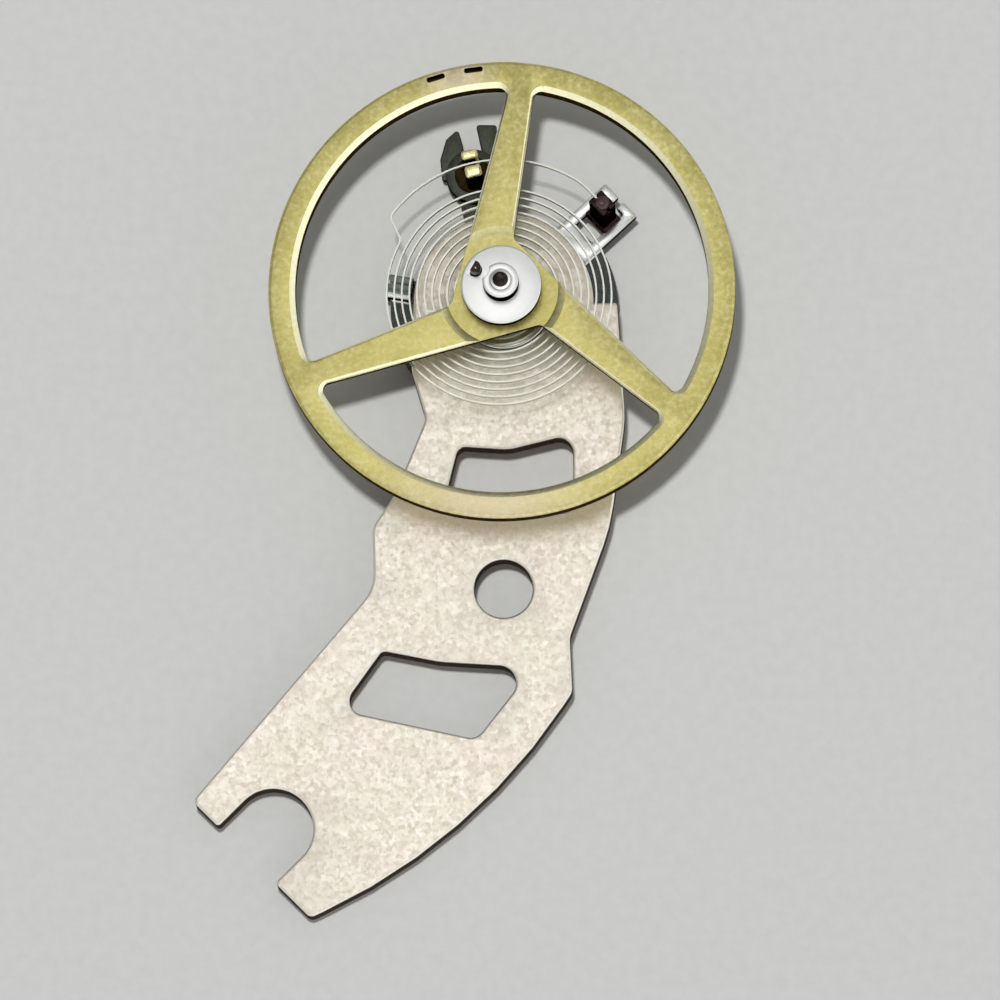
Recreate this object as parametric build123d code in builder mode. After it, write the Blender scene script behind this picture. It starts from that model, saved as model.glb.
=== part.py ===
# A watch's balance complete on its bridge, lying with the wheel up.
# The origin is where the staff's axis meets the bridge's seating face, +Z goes from the bridge to the wheel.
# Lengths are in millimetres, and angles in degrees, counted from +X towards +Y.

import os
from math import asin, atan2, cos, degrees, hypot, radians, sin, sqrt

from build123d import *

os.makedirs("parts", exist_ok=True)

# Clearances, and how far a cut runs past what it cuts
running_play = 0.02
end_play = 0.01
pivot_play = 0.012
overrun = 0.5

# Balance wheel
wheel_r = 4.8
rim_width = 0.56
rim_height = 0.45
rim_bottom = 0.8
rim_edge_chamfer = 0.06
arm_thickness = 0.22
spoke_count = 3
spoke_angle = 82.1
spoke_taper_angle = 6.7
spoke_lead_offset = 0.095
spoke_trail_offset = 0.93
window_corner_r = 0.16
window_edge_bevel = 0.06
window_rim_bevel = 0.12
window_bevel_depth = 0.07
hub_recess_r = 1.22
hub_recess_depth = 0.06
hub_bore_r = 0.5
poising_slot_angles = (97.2, 107)
poising_slot_inset = 0.14
poising_slot_length = 0.38
poising_slot_width = 0.1
poising_slot_depth = 0.2

# Balance staff
pivot_r = 0.05
lower_pivot_length = 0.22
lower_cone_length = 0.16
roller_seat_r = 0.21
flange_r = 0.66
flange_thickness = 0.13
rivet_height = 0.05
collet_seat_r = 0.3
collet_seat_length = 0.52
shank_r = 0.22
upper_pivot_length = 0.24
upper_cone_length = 0.12

# Rollers and impulse jewel
roller_r = 0.826
roller_thickness = 0.22
roller_collar_r = 0.4
roller_collar_height = 0.22
roller_chamfer = 0.03
safety_roller_r = 0.37
safety_roller_height = 0.42
crescent_r = 0.17
impulse_angle = 150.5
impulse_margin = 0.1
impulse_jewel_r = 0.12
impulse_flat = 0.05
impulse_jewel_height = 0.36
impulse_shellac_r = 0.16
impulse_shellac_height = 0.07

# Collet and hairspring
collet_r = 0.46
collet_height = 0.3
collet_slit = 0.08
collet_slit_angle = 260
spring_thickness = 0.035
spring_height = 0.14
spring_level = 0.55
spring_pitch = 0.156
spring_half_turns = 22
inner_bend_r = 0.08
dogleg_angle = 153
dogleg_turn = 52
dogleg_bend_r = 0.2
spring_arc_rise = 0.4687
end_bend_angle = 16

# Bridge: outlines are (x, y, corner radius) as shares of its reach from the staff's axis to the fork
bridge_thickness = 0.55
bridge_edge_chamfer = 0.05
head_r = 1.86
bridge_reach = 12.85
bridge_outline_shares = (
    (-0.148, -0.113, 0.047),
    (-0.1245, -0.191, 0.031),
    (-0.177, -0.319, 0.1),
    (-0.21, -0.367, 0.035),
    (-0.207, -0.467, 0.07),
    (-0.4965, -0.811, 0.0125),
    (-0.3074, -1, 0.0125),
    (-0.048, -0.8785, 0.93),
    (0.11, -0.638, 0.023),
    (0.106, -0.549, 0.039),
    (0.171, -0.37, 0.31),
    (0.1955, -0.195, 0.195),
    (0.1825, -0.0023, 0.006),
)
upper_window_shares = (
    (-0.0724, -0.2374, 0.0156),
    (0.008, -0.243, 0.08),
    (0.1113, -0.218, 0.0234),
    (0.1113, -0.3463, 0.0156),
    (-0.0996, -0.3463, 0.0156),
)
lower_window_shares = (
    (-0.194, -0.5696, 0.0117),
    (-0.102, -0.588, 0.15),
    (0.0467, -0.5977, 0.028),
    (-0.0436, -0.7128, 0.0233),
    (-0.2615, -0.6646, 0.0233),
)
screw_hole_r = 0.6
screw_hole_shares = (0, -0.4693)
fork_slot_r = 0.826
fork_slot_shares = (-0.3673, -0.856)
fork_slot_angle = 225
fork_mouth_r = 0.09

# Shock block, jewels and lyre spring
block_r = 1.0
block_neck_r = 0.95
block_lip_overhang = 0.05
block_lip_height = 0.08
block_rise = 0.05
block_throat_r = 0.3
cone_seat_top = 0.2
cone_seat_depth = 0.3
cone_seat_small_r = 0.42
cone_seat_large_r = 0.6
setting_room_r = 0.66
lyre_groove_r = 0.8
lyre_lip_r = 0.72
setting_throat_r = 0.15
setting_wall = 0.08
setting_flange_height = 0.12
hole_jewel_r = 0.35
hole_jewel_thickness = 0.14
cap_jewel_r = 0.45
cap_jewel_thickness = 0.17
pivot_end_gap = 0.02
lyre_band = 0.15
lyre_thickness = 0.06
lyre_slit = 0.1
lyre_slit_angle = 270
lyre_tongue_count = 3
lyre_tongue_width = 0.12
lyre_tongue_tip_r = 0.16

# Stud carrier and stud
carrier_thickness = 0.2
carrier_ring_r = 1.45
carrier_plate_width = 0.91
carrier_plate_start = 163
carrier_plate_sweep = 239
carrier_slit = 0.12
carrier_slit_angle = 110
carrier_edge_chamfer = 0.04
fork_angle = 43
fork_root_gap = 0.32
fork_arm_width = 0.22
fork_hook_gap = 0.08
fork_tip_thickness = 0.2
fork_tip_slit = 0.14
stud_width = 0.6
stud_depth = 0.46
stud_shoulder_height = 0.06
stud_head_width = 0.44
stud_head_depth = 0.36
stud_top = 0.7
stud_groove_depth = 0.04
stud_foot_height = 0.06
stud_chamfer = 0.04
stud_slot_play = 0.012
stud_shellac_r = 0.15
stud_shellac_height = 0.07
lug_gap = 0.07
lug_length = 0.52
lug_width = 0.48
lug_rise = 0.31
lug_angle = 170
lug_chamfer = 0.09
lug_groove_width = 0.16
lug_groove_depth = 0.08

# Regulator index and curb key: the prongs are (outwards, sideways) from the eye, as shares of the tail's length
index_thickness = 0.2
index_ring_r = 1.42
index_angle = 103
index_arm_width = 0.78
index_slit = 0.12
index_slit_angle = 330
index_eye_r = 0.56
index_eye_rise = 0.25
index_eye_slit = 0.14
index_eye_slit_shift = 0.1
tail_length = 1.05
tail_corner_r = 0.06
left_prong_shares = (
    (-0.12, 0.112),
    (0.104, 0.616),
    (0.52, 0.56),
    (0.89, 0.355),
    (1.05, 0.075),
    (0.7, 0.06),
    (0.291, 0.183),
)
right_prong_shares = (
    (-0.12, -0.112),
    (0.235, -0.274),
    (1.05, -0.288),
    (0.95, -0.687),
    (0.362, -0.568),
    (0, -0.437),
)
key_stem_r = 0.32
key_collar_r = 0.38
key_collar_height = 0.08
key_head_r = 0.42
key_head_height = 0.04
key_slot_width = 0.1
key_slot_depth = 0.02
jaw_gap = 0.13
jaw_length = 0.34
jaw_outer_width = 0.2
jaw_inner_width = 0.26
jaw_rise = 0.13
jaw_corner_r = 0.05
jaw_web_width = 0.1
jaw_web_gap = 0.12

# Levels and places worked out from the sizes above
rim_bore_r = wheel_r - rim_width
rim_top = rim_bottom + rim_height
arm_bottom = rim_top - arm_thickness
hub_face = rim_top - hub_recess_depth
rivet_top = hub_face + rivet_height
roller_bottom = rivet_top + roller_collar_height
roller_top = roller_bottom + roller_thickness
safety_top = roller_top + safety_roller_height
lower_shoulder = safety_top + lower_cone_length
impulse_distance = roller_r - impulse_margin - impulse_jewel_r
flange_bottom = arm_bottom - flange_thickness
collet_seat_bottom = flange_bottom - collet_seat_length
collet_top = spring_level + collet_height / 2
spring_top = spring_level + spring_height / 2
spring_bottom = spring_level - spring_height / 2
bridge_back = -bridge_thickness
carrier_top = bridge_back - end_play
carrier_bottom = carrier_top - carrier_thickness
index_top = carrier_bottom - end_play
index_bottom = index_top - index_thickness
index_eye_top = index_top + index_eye_rise
block_lip_top = index_bottom - end_play
block_bottom = block_lip_top - block_lip_height
ring_bore_r = block_neck_r + running_play
carrier_plate_r = carrier_ring_r + carrier_plate_width
cone_seat_bottom = -(cone_seat_top + cone_seat_depth)
setting_top = -(cone_seat_top + end_play)
hole_jewel_face = setting_top - setting_wall
hole_jewel_back = hole_jewel_face - hole_jewel_thickness
upper_pivot_tip = hole_jewel_back - end_play
upper_shoulder = upper_pivot_tip + upper_pivot_length
cap_face = upper_pivot_tip - pivot_end_gap
cap_back = cap_face - cap_jewel_thickness
setting_flange_top = cone_seat_bottom - end_play
setting_bottom = setting_flange_top - setting_flange_height
lyre_bottom = cap_back - lyre_thickness


def polar(distance, angle):
    """The point at a distance from the staff's axis, in a direction."""
    return Vector(distance * cos(radians(angle)), distance * sin(radians(angle)))


def flat(point):
    """A point's place on its own plane."""
    return (point.X, point.Y)


def turned(distance, angle, height):
    """A level plane at a height, centred at a distance from the axis, its x axis pointing outwards."""
    point = polar(distance, angle)
    outwards = polar(1, angle)
    return Plane(origin=(point.X, point.Y, height), x_dir=(outwards.X, outwards.Y, 0), z_dir=(0, 0, 1))


def facing(distance, angle, height):
    """An upright plane at a distance from the axis, facing outwards, its x axis level."""
    point = polar(distance, angle)
    outwards = polar(1, angle)
    return Plane(origin=(point.X, point.Y, height), x_dir=(-outwards.Y, outwards.X, 0), z_dir=outwards)


def filleted_outline(shares, reach):
    """Draws a closed outline in the current sketch from (x, y, corner radius) shares of a reach."""
    points = [(x * reach, y * reach) for x, y, corner in shares]
    with BuildLine() as outline:
        FilletPolyline(*points, radius=[corner * reach for x, y, corner in shares], close=True)
    make_face(outline.edges())


def spoke_edges(number, shift):
    """The leading and the slanted trailing edge of a spoke, each as its point nearest the axis and its
    direction, moved into the spoke by a shift."""
    lead = spoke_angle - number * 360 / spoke_count
    trail = lead - spoke_taper_angle
    lead_point = polar(spoke_lead_offset - shift, lead - 90)
    trail_point = polar(spoke_trail_offset - shift, trail + 90)
    return (lead_point, polar(1, lead)), (trail_point, polar(1, trail))


def on_circle(edge, radius):
    """The point where a spoke's edge meets a circle round the axis."""
    point, direction = edge
    return point + direction * sqrt(radius**2 - point.length**2)


def crossing(first, second):
    """The point where two edges cross."""
    (p, d), (q, e) = first, second
    along = ((q.X - p.X) * e.Y - (q.Y - p.Y) * e.X) / (d.X * e.Y - d.Y * e.X)
    return p + d * along


def window_outline(number, shift, radius, corner):
    """Draws one window of the wheel in the current sketch: from a spoke's leading edge to the next spoke's
    trailing edge, and out to a radius."""
    lead = spoke_edges(number, shift)[0]
    trail = spoke_edges(number + 1, shift)[1]
    inner = crossing(lead, trail)
    first = on_circle(lead, radius)
    last = on_circle(trail, radius)
    middle = (first + last).normalized() * radius
    with BuildLine() as outline:
        Line(inner, first)
        ThreePointArc(first, middle, last)
        Line(last, inner)
    window = make_face(outline.edges())
    fillet(window.vertices(), radius=corner)


# Balance wheel: rim, web with three windows, recessed hub and poising slots
with BuildPart() as balance_wheel:
    with BuildSketch(Plane.XY.offset(rim_bottom)):
        Circle(wheel_r)
    extrude(amount=rim_height)
    rim_edges = balance_wheel.edges().group_by(Axis.Z)
    chamfer(rim_edges[0] + rim_edges[-1], length=rim_edge_chamfer)
    with BuildSketch(Plane.XY.offset(rim_bottom)):
        Circle(rim_bore_r)
    extrude(amount=rim_height - arm_thickness, mode=Mode.SUBTRACT)
    bevel_foot = rim_top - window_bevel_depth
    for spoke in range(spoke_count):
        with BuildSketch(Plane.XY.offset(arm_bottom)):
            window_outline(spoke, 0, rim_bore_r, window_corner_r)
        extrude(amount=arm_thickness, mode=Mode.SUBTRACT)
        with BuildSketch(Plane.XY.offset(bevel_foot)):
            window_outline(spoke, 0, rim_bore_r, window_corner_r)
        with BuildSketch(Plane.XY.offset(rim_top)):
            window_outline(spoke, window_edge_bevel, rim_bore_r + window_rim_bevel, window_corner_r)
        loft(ruled=True, mode=Mode.SUBTRACT)
    with BuildSketch(Plane.XY.offset(rim_top)):
        Circle(hub_recess_r)
    extrude(amount=-hub_recess_depth, mode=Mode.SUBTRACT)
    with BuildSketch(Plane.XY.offset(rim_top)):
        Circle(hub_bore_r)
    extrude(amount=-arm_thickness, mode=Mode.SUBTRACT)
    for slot_angle in poising_slot_angles:
        with BuildSketch(turned(wheel_r - poising_slot_inset, slot_angle, rim_top)):
            Rectangle(poising_slot_width, poising_slot_length)
        extrude(amount=-poising_slot_depth, mode=Mode.SUBTRACT)
balance_wheel.part.label = "balance_wheel"
export_step(balance_wheel.part, "parts/balance_wheel.step")

# Balance staff: the lower pivot is up here, and the upper one stands in the bridge's jewel
with BuildPart() as balance_staff:
    with BuildSketch(Plane.XZ):
        with BuildLine():
            Polyline(
                (0, lower_shoulder + lower_pivot_length),
                (pivot_r, lower_shoulder + lower_pivot_length),
                (pivot_r, lower_shoulder),
                (roller_seat_r, safety_top),
                (roller_seat_r, rivet_top),
                (hub_bore_r, rivet_top),
                (hub_bore_r, arm_bottom),
                (flange_r, arm_bottom),
                (flange_r, flange_bottom),
                (collet_seat_r, flange_bottom),
                (collet_seat_r, collet_seat_bottom),
                (shank_r, collet_seat_bottom),
                (shank_r, upper_shoulder + upper_cone_length),
                (pivot_r, upper_shoulder),
                (pivot_r, upper_pivot_tip),
                (0, upper_pivot_tip),
                close=True,
            )
        make_face()
    revolve(axis=Axis.Z)
balance_staff.part.label = "balance_staff"
export_step(balance_staff.part, "parts/balance_staff.step")


def impulse_section():
    """Draws the impulse jewel's D in the current sketch, with its flat outwards."""
    Circle(impulse_jewel_r)
    with Locations((impulse_flat, 0)):
        Rectangle(impulse_jewel_r, 2 * impulse_jewel_r, align=(Align.MIN, Align.CENTER), mode=Mode.SUBTRACT)


# Roller table: disc on a collar, with a hole for the impulse jewel
with BuildPart() as roller_table:
    with BuildSketch(Plane.XY.offset(rivet_top)):
        Circle(roller_collar_r)
    extrude(amount=roller_collar_height)
    with BuildSketch(Plane.XY.offset(roller_bottom)):
        Circle(roller_r)
    extrude(amount=roller_thickness)
    chamfer(roller_table.edges().group_by(Axis.Z)[-1], length=roller_chamfer)
    with BuildSketch(Plane.XY.offset(rivet_top)):
        Circle(roller_seat_r)
    extrude(amount=roller_collar_height + roller_thickness, mode=Mode.SUBTRACT)
    with BuildSketch(turned(impulse_distance, impulse_angle, roller_bottom)):
        impulse_section()
    extrude(amount=roller_thickness, mode=Mode.SUBTRACT)
roller_table.part.label = "roller_table"
export_step(roller_table.part, "parts/roller_table.step")

# Safety roller, with the crescent that lets the fork's dart pass
with BuildPart() as safety_roller:
    with BuildSketch(Plane.XY.offset(roller_top)):
        Circle(safety_roller_r)
    extrude(amount=safety_roller_height)
    chamfer(safety_roller.edges().group_by(Axis.Z)[-1], length=roller_chamfer)
    with BuildSketch(Plane.XY.offset(roller_top)):
        Circle(roller_seat_r)
    extrude(amount=safety_roller_height, mode=Mode.SUBTRACT)
    with BuildSketch(turned(safety_roller_r + crescent_r / 2, impulse_angle, roller_top)):
        Circle(crescent_r)
    extrude(amount=safety_roller_height, mode=Mode.SUBTRACT)
safety_roller.part.label = "safety_roller"
export_step(safety_roller.part, "parts/safety_roller.step")

# Impulse jewel, standing up from the roller table
with BuildPart() as impulse_jewel:
    with BuildSketch(turned(impulse_distance, impulse_angle, roller_bottom)):
        impulse_section()
    extrude(amount=roller_thickness + impulse_jewel_height)
impulse_jewel.part.label = "impulse_jewel"
export_step(impulse_jewel.part, "parts/impulse_jewel.step")

# Shellac on the hidden side of the table, over the jewel's foot
with BuildPart() as jewel_shellac:
    with BuildSketch(turned(impulse_distance, impulse_angle, roller_bottom)):
        Circle(impulse_shellac_r)
    extrude(amount=-impulse_shellac_height)
    fillet(jewel_shellac.edges().group_by(Axis.Z)[0], radius=impulse_shellac_height / 2)
jewel_shellac.part.label = "jewel_shellac"
export_step(jewel_shellac.part, "parts/jewel_shellac.step")

# The hairspring's route: a straight out of the collet, a bend, half turns round two centres, a dog-leg, an arc
# round the staff, and a bend to a straight into the stud. The coil runs clockwise on its way outwards.
coil_start_angle = dogleg_angle + 180 * spring_half_turns
first_coil_r = inner_bend_r + hypot(collet_r + spring_height, inner_bend_r)
lead_in_angle = degrees(asin(inner_bend_r / (first_coil_r - inner_bend_r)))
root_angle = coil_start_angle + lead_in_angle
root_r = (collet_r + collet_seat_r) / 2
coil_r = first_coil_r + spring_half_turns * spring_pitch / 2
spring_arc_r = coil_r + spring_arc_rise
rising_angle = dogleg_angle - 90 + dogleg_turn
first_bend = polar(coil_r + dogleg_bend_r, dogleg_angle)
rise_start = first_bend + polar(dogleg_bend_r, dogleg_angle + 180 + dogleg_turn)
second_bend_start = rise_start + polar(dogleg_bend_r, rising_angle - 90)
rise_along = second_bend_start.dot(polar(1, rising_angle))
rise_aside = second_bend_start.length ** 2 - rise_along**2
rise_length = sqrt((spring_arc_r - dogleg_bend_r) ** 2 - rise_aside) - rise_along
second_bend = second_bend_start + polar(rise_length, rising_angle)
arc_start_angle = degrees(atan2(second_bend.Y, second_bend.X))
end_straight = stud_width / 2 + spring_height
end_bend_r = spring_arc_r - end_straight / sin(radians(end_bend_angle))
end_bend = polar(spring_arc_r - end_bend_r, fork_angle + end_bend_angle)
stud_face_point = end_bend + polar(end_bend_r, fork_angle)
stud_r = stud_face_point.dot(polar(1, fork_angle))

# Hairspring: one flat strip on edge
with BuildPart() as hairspring:
    with BuildLine(Plane.XY.offset(spring_level)) as spring_route:
        Line(flat(polar(root_r, root_angle)), flat(polar(collet_r + spring_height, root_angle)))
        CenterArc(
            flat(polar(first_coil_r - inner_bend_r, coil_start_angle)),
            inner_bend_r,
            root_angle + 90,
            -(90 + lead_in_angle),
        )
        for half_turn in range(spring_half_turns):
            centre_shift = half_turn % 2 * spring_pitch / 2
            CenterArc(
                flat(polar(centre_shift, coil_start_angle)),
                first_coil_r + half_turn * spring_pitch / 2,
                coil_start_angle - 180 * half_turn,
                -180,
            )
        CenterArc(flat(first_bend), dogleg_bend_r, dogleg_angle + 180, dogleg_turn)
        Line(flat(rise_start), flat(rise_start + polar(rise_length, rising_angle)))
        CenterArc(flat(second_bend), dogleg_bend_r, rising_angle + 90, arc_start_angle - rising_angle - 90)
        CenterArc((0, 0), spring_arc_r, arc_start_angle, fork_angle + end_bend_angle - arc_start_angle)
        CenterArc(flat(end_bend), end_bend_r, fork_angle + end_bend_angle, -end_bend_angle)
        Line(flat(stud_face_point), flat(stud_face_point + polar(end_straight, fork_angle - 90)))
    with BuildSketch(facing(root_r, root_angle, spring_level)):
        Rectangle(spring_thickness, spring_height)
    sweep()
hairspring.part.label = "hairspring"
export_step(hairspring.part, "parts/hairspring.step")


def spring_gap():
    """The least gap between neighbouring turns of the strip, measured on points a few degrees apart."""
    route = spring_route.wire()
    steps = spring_half_turns * 20
    points = [route.position_at(step / steps) for step in range(steps + 1)]
    apart = first_coil_r * 3
    spacing = route.length / steps
    skip = int(apart / spacing)
    return min(
        (points[near] - points[far]).length
        for near in range(steps + 1)
        for far in range(near + skip, steps + 1)
    ) - spring_thickness


spring_length = spring_route.wire().length
print(f"hairspring length {spring_length:.3f}, coil radius {coil_r:.3f}, stud at {stud_r:.3f}")
print(f"hairspring volume {hairspring.part.volume:.5f}, section times length "
      f"{spring_length * spring_thickness * spring_height:.5f}")
print(f"hairspring least gap to itself {spring_gap():.4f}")

# Collet: split ring pressed on the staff, with the hole that holds the spring's inner end
with BuildPart() as hairspring_collet:
    with BuildSketch(Plane.XY.offset(collet_top)):
        Circle(collet_r)
        Circle(collet_seat_r, mode=Mode.SUBTRACT)
    extrude(amount=-collet_height)
    with BuildSketch(turned(0, collet_slit_angle, collet_top)):
        Rectangle(collet_r + overrun, collet_slit, align=(Align.MIN, Align.CENTER))
    extrude(amount=-collet_height, mode=Mode.SUBTRACT)
    with BuildSketch(facing(root_r, root_angle, spring_level)):
        Rectangle(spring_thickness + 2 * stud_slot_play, spring_height + 2 * stud_slot_play)
    extrude(amount=overrun, mode=Mode.SUBTRACT)
hairspring_collet.part.label = "hairspring_collet"
export_step(hairspring_collet.part, "parts/hairspring_collet.step")

# Stud carrier: split ring with a wide plate, a forked arm that holds the stud, and a lug to turn it by
fork_gap = stud_width - 2 * stud_groove_depth
fork_width = fork_gap + 2 * fork_arm_width
fork_root_r = stud_r - stud_depth / 2 - fork_root_gap
fork_gap_end = stud_r + stud_depth / 2 + fork_hook_gap
fork_end = fork_gap_end + fork_tip_thickness
lug_inner_r = head_r + lug_gap
with BuildPart() as stud_carrier:
    with BuildSketch(Plane.XY.offset(carrier_bottom)):
        Circle(carrier_ring_r)
        with BuildLine():
            Line((0, 0), polar(carrier_plate_r, carrier_plate_start))
            CenterArc((0, 0), carrier_plate_r, carrier_plate_start, carrier_plate_sweep)
            Line(polar(carrier_plate_r, carrier_plate_start + carrier_plate_sweep), (0, 0))
        make_face()
        with Locations(polar(fork_end / 2, fork_angle)):
            Rectangle(fork_end, fork_width, rotation=fork_angle)
    extrude(amount=carrier_thickness)
    carrier_outline = stud_carrier.faces().sort_by(Axis.Z)[-1].outer_wire()
    chamfer(carrier_outline.edges(), length=carrier_edge_chamfer)
    with BuildSketch(turned(lug_inner_r, lug_angle, carrier_bottom)):
        Rectangle(lug_length, lug_width, align=(Align.MIN, Align.CENTER))
    extrude(amount=carrier_thickness + lug_rise)
    lug_edges = stud_carrier.faces().sort_by(Axis.Z)[-1].edges()
    chamfer(lug_edges.sort_by(Axis.Y)[0], length=lug_chamfer)
    with BuildSketch(turned(lug_inner_r, lug_angle, carrier_top + lug_rise)):
        Rectangle(lug_length, lug_groove_width, align=(Align.MIN, Align.CENTER))
    extrude(amount=-lug_groove_depth, mode=Mode.SUBTRACT)
    with BuildSketch(Plane.XY.offset(carrier_bottom)):
        Circle(ring_bore_r)
    extrude(amount=carrier_thickness, mode=Mode.SUBTRACT)
    with BuildSketch(turned(0, carrier_slit_angle, carrier_bottom)):
        Rectangle(carrier_ring_r + overrun, carrier_slit, align=(Align.MIN, Align.CENTER))
    extrude(amount=carrier_thickness, mode=Mode.SUBTRACT)
    with BuildSketch(turned(fork_root_r, fork_angle, carrier_bottom)):
        Rectangle(fork_gap_end - fork_root_r, fork_gap, align=(Align.MIN, Align.CENTER))
        Rectangle(fork_end - fork_root_r + overrun, fork_tip_slit, align=(Align.MIN, Align.CENTER))
    extrude(amount=carrier_thickness, mode=Mode.SUBTRACT)
stud_carrier.part.label = "stud_carrier"
export_step(stud_carrier.part, "parts/stud_carrier.step")

# Stud: waist held in the fork between a foot and a shoulder, and a head with a slot across its top for the
# spring's outer end
with BuildPart() as hairspring_stud:
    with BuildSketch(turned(stud_r, fork_angle, carrier_top)):
        Rectangle(stud_head_depth, stud_head_width)
    extrude(amount=stud_top - carrier_top)
    chamfer(hairspring_stud.edges().group_by(Axis.Z)[-1], length=stud_chamfer)
    with BuildSketch(turned(stud_r, fork_angle, carrier_top)):
        Rectangle(stud_depth, stud_width)
    extrude(amount=stud_shoulder_height)
    with BuildSketch(turned(stud_r, fork_angle, carrier_top)):
        Rectangle(stud_depth, fork_gap)
    extrude(amount=-carrier_thickness)
    with BuildSketch(turned(stud_r, fork_angle, carrier_bottom)):
        Rectangle(stud_depth, stud_width)
    extrude(amount=-stud_foot_height)
    with BuildSketch(turned(stud_r, fork_angle, spring_bottom)):
        Rectangle(spring_thickness + 2 * stud_slot_play, stud_width)
    extrude(amount=stud_top - spring_bottom, mode=Mode.SUBTRACT)
hairspring_stud.part.label = "hairspring_stud"
export_step(hairspring_stud.part, "parts/hairspring_stud.step")

# Shellac that fills the stud's slot above the spring and stands on the stud as a bead
with BuildPart() as stud_shellac:
    with BuildSketch(turned(stud_r, fork_angle, stud_top)):
        Circle(stud_shellac_r)
    extrude(amount=stud_shellac_height)
    fillet(stud_shellac.edges().group_by(Axis.Z)[-1], radius=stud_shellac_height / 2)
    with BuildSketch(turned(stud_r, fork_angle, spring_top)):
        Rectangle(spring_thickness + 2 * stud_slot_play, 2 * stud_shellac_r)
    extrude(amount=stud_top - spring_top)
stud_shellac.part.label = "stud_shellac"
export_step(stud_shellac.part, "parts/stud_shellac.step")

# Regulator index: split ring, arm with a raised eye, and a two-pronged tail
key_bore_r = key_stem_r + running_play
with BuildPart() as regulator_index:
    with BuildSketch(Plane.XY.offset(index_bottom)):
        Circle(index_ring_r)
        with Locations(polar(spring_arc_r / 2, index_angle)):
            Rectangle(spring_arc_r, index_arm_width, rotation=index_angle)
        with Locations(polar(spring_arc_r, index_angle)):
            Circle(index_eye_r)
    extrude(amount=index_thickness)
    for prong_shares in (left_prong_shares, right_prong_shares):
        with BuildSketch(turned(spring_arc_r, index_angle, index_bottom)):
            with BuildLine():
                FilletPolyline(
                    *[(out * tail_length, aside * tail_length) for out, aside in prong_shares],
                    radius=tail_corner_r,
                    close=True,
                )
            make_face()
        extrude(amount=index_thickness)
    with BuildSketch(turned(spring_arc_r, index_angle, index_top)):
        Circle(index_eye_r)
    extrude(amount=index_eye_rise)
    with BuildSketch(Plane.XY.offset(index_bottom)):
        Circle(ring_bore_r)
    extrude(amount=index_thickness, mode=Mode.SUBTRACT)
    with BuildSketch(turned(0, index_slit_angle, index_bottom)):
        Rectangle(index_ring_r + overrun, index_slit, align=(Align.MIN, Align.CENTER))
    extrude(amount=index_thickness, mode=Mode.SUBTRACT)
    with BuildSketch(turned(spring_arc_r, index_angle, index_bottom)):
        Circle(key_bore_r)
        with Locations((0, -index_eye_slit_shift)):
            Rectangle(index_eye_r, index_eye_slit, align=(Align.MIN, Align.CENTER))
    extrude(amount=index_thickness + index_eye_rise, mode=Mode.SUBTRACT)
regulator_index.part.label = "regulator_index"
export_step(regulator_index.part, "parts/regulator_index.step")

# Curb key: slotted head, stem in the index's eye, and two jaws with the spring between them
key_jaw_foot = index_eye_top + end_play + key_collar_height
jaw_top = spring_top + jaw_rise
with BuildPart() as curb_key:
    with BuildSketch(turned(spring_arc_r, index_angle, index_bottom - end_play)):
        Circle(key_stem_r)
    extrude(amount=index_thickness + index_eye_rise + 2 * end_play)
    with BuildSketch(turned(spring_arc_r, index_angle, index_eye_top + end_play)):
        Circle(key_collar_r)
    extrude(amount=key_collar_height)
    with BuildSketch(turned(spring_arc_r, index_angle, index_bottom - end_play)):
        Circle(key_head_r)
    extrude(amount=-key_head_height)
    with BuildSketch(turned(spring_arc_r, index_angle, index_bottom - end_play - key_head_height)):
        Rectangle(key_slot_width, 2 * key_head_r)
    extrude(amount=key_slot_depth, mode=Mode.SUBTRACT)
    with BuildSketch(turned(spring_arc_r, index_angle, key_jaw_foot)):
        with Locations(((jaw_gap + jaw_outer_width) / 2, 0)):
            RectangleRounded(jaw_outer_width, jaw_length, jaw_corner_r)
        with Locations((-(jaw_gap + jaw_inner_width) / 2, 0)):
            RectangleRounded(jaw_inner_width, jaw_length, jaw_corner_r)
    extrude(amount=jaw_top - key_jaw_foot)
    with BuildSketch(turned(spring_arc_r, index_angle, key_jaw_foot)):
        with Locations((0, (jaw_web_width - jaw_length) / 2)):
            Rectangle(jaw_gap + 2 * jaw_corner_r, jaw_web_width)
    extrude(amount=spring_bottom - jaw_web_gap - key_jaw_foot)
curb_key.part.label = "curb_key"
export_step(curb_key.part, "parts/curb_key.step")

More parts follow.
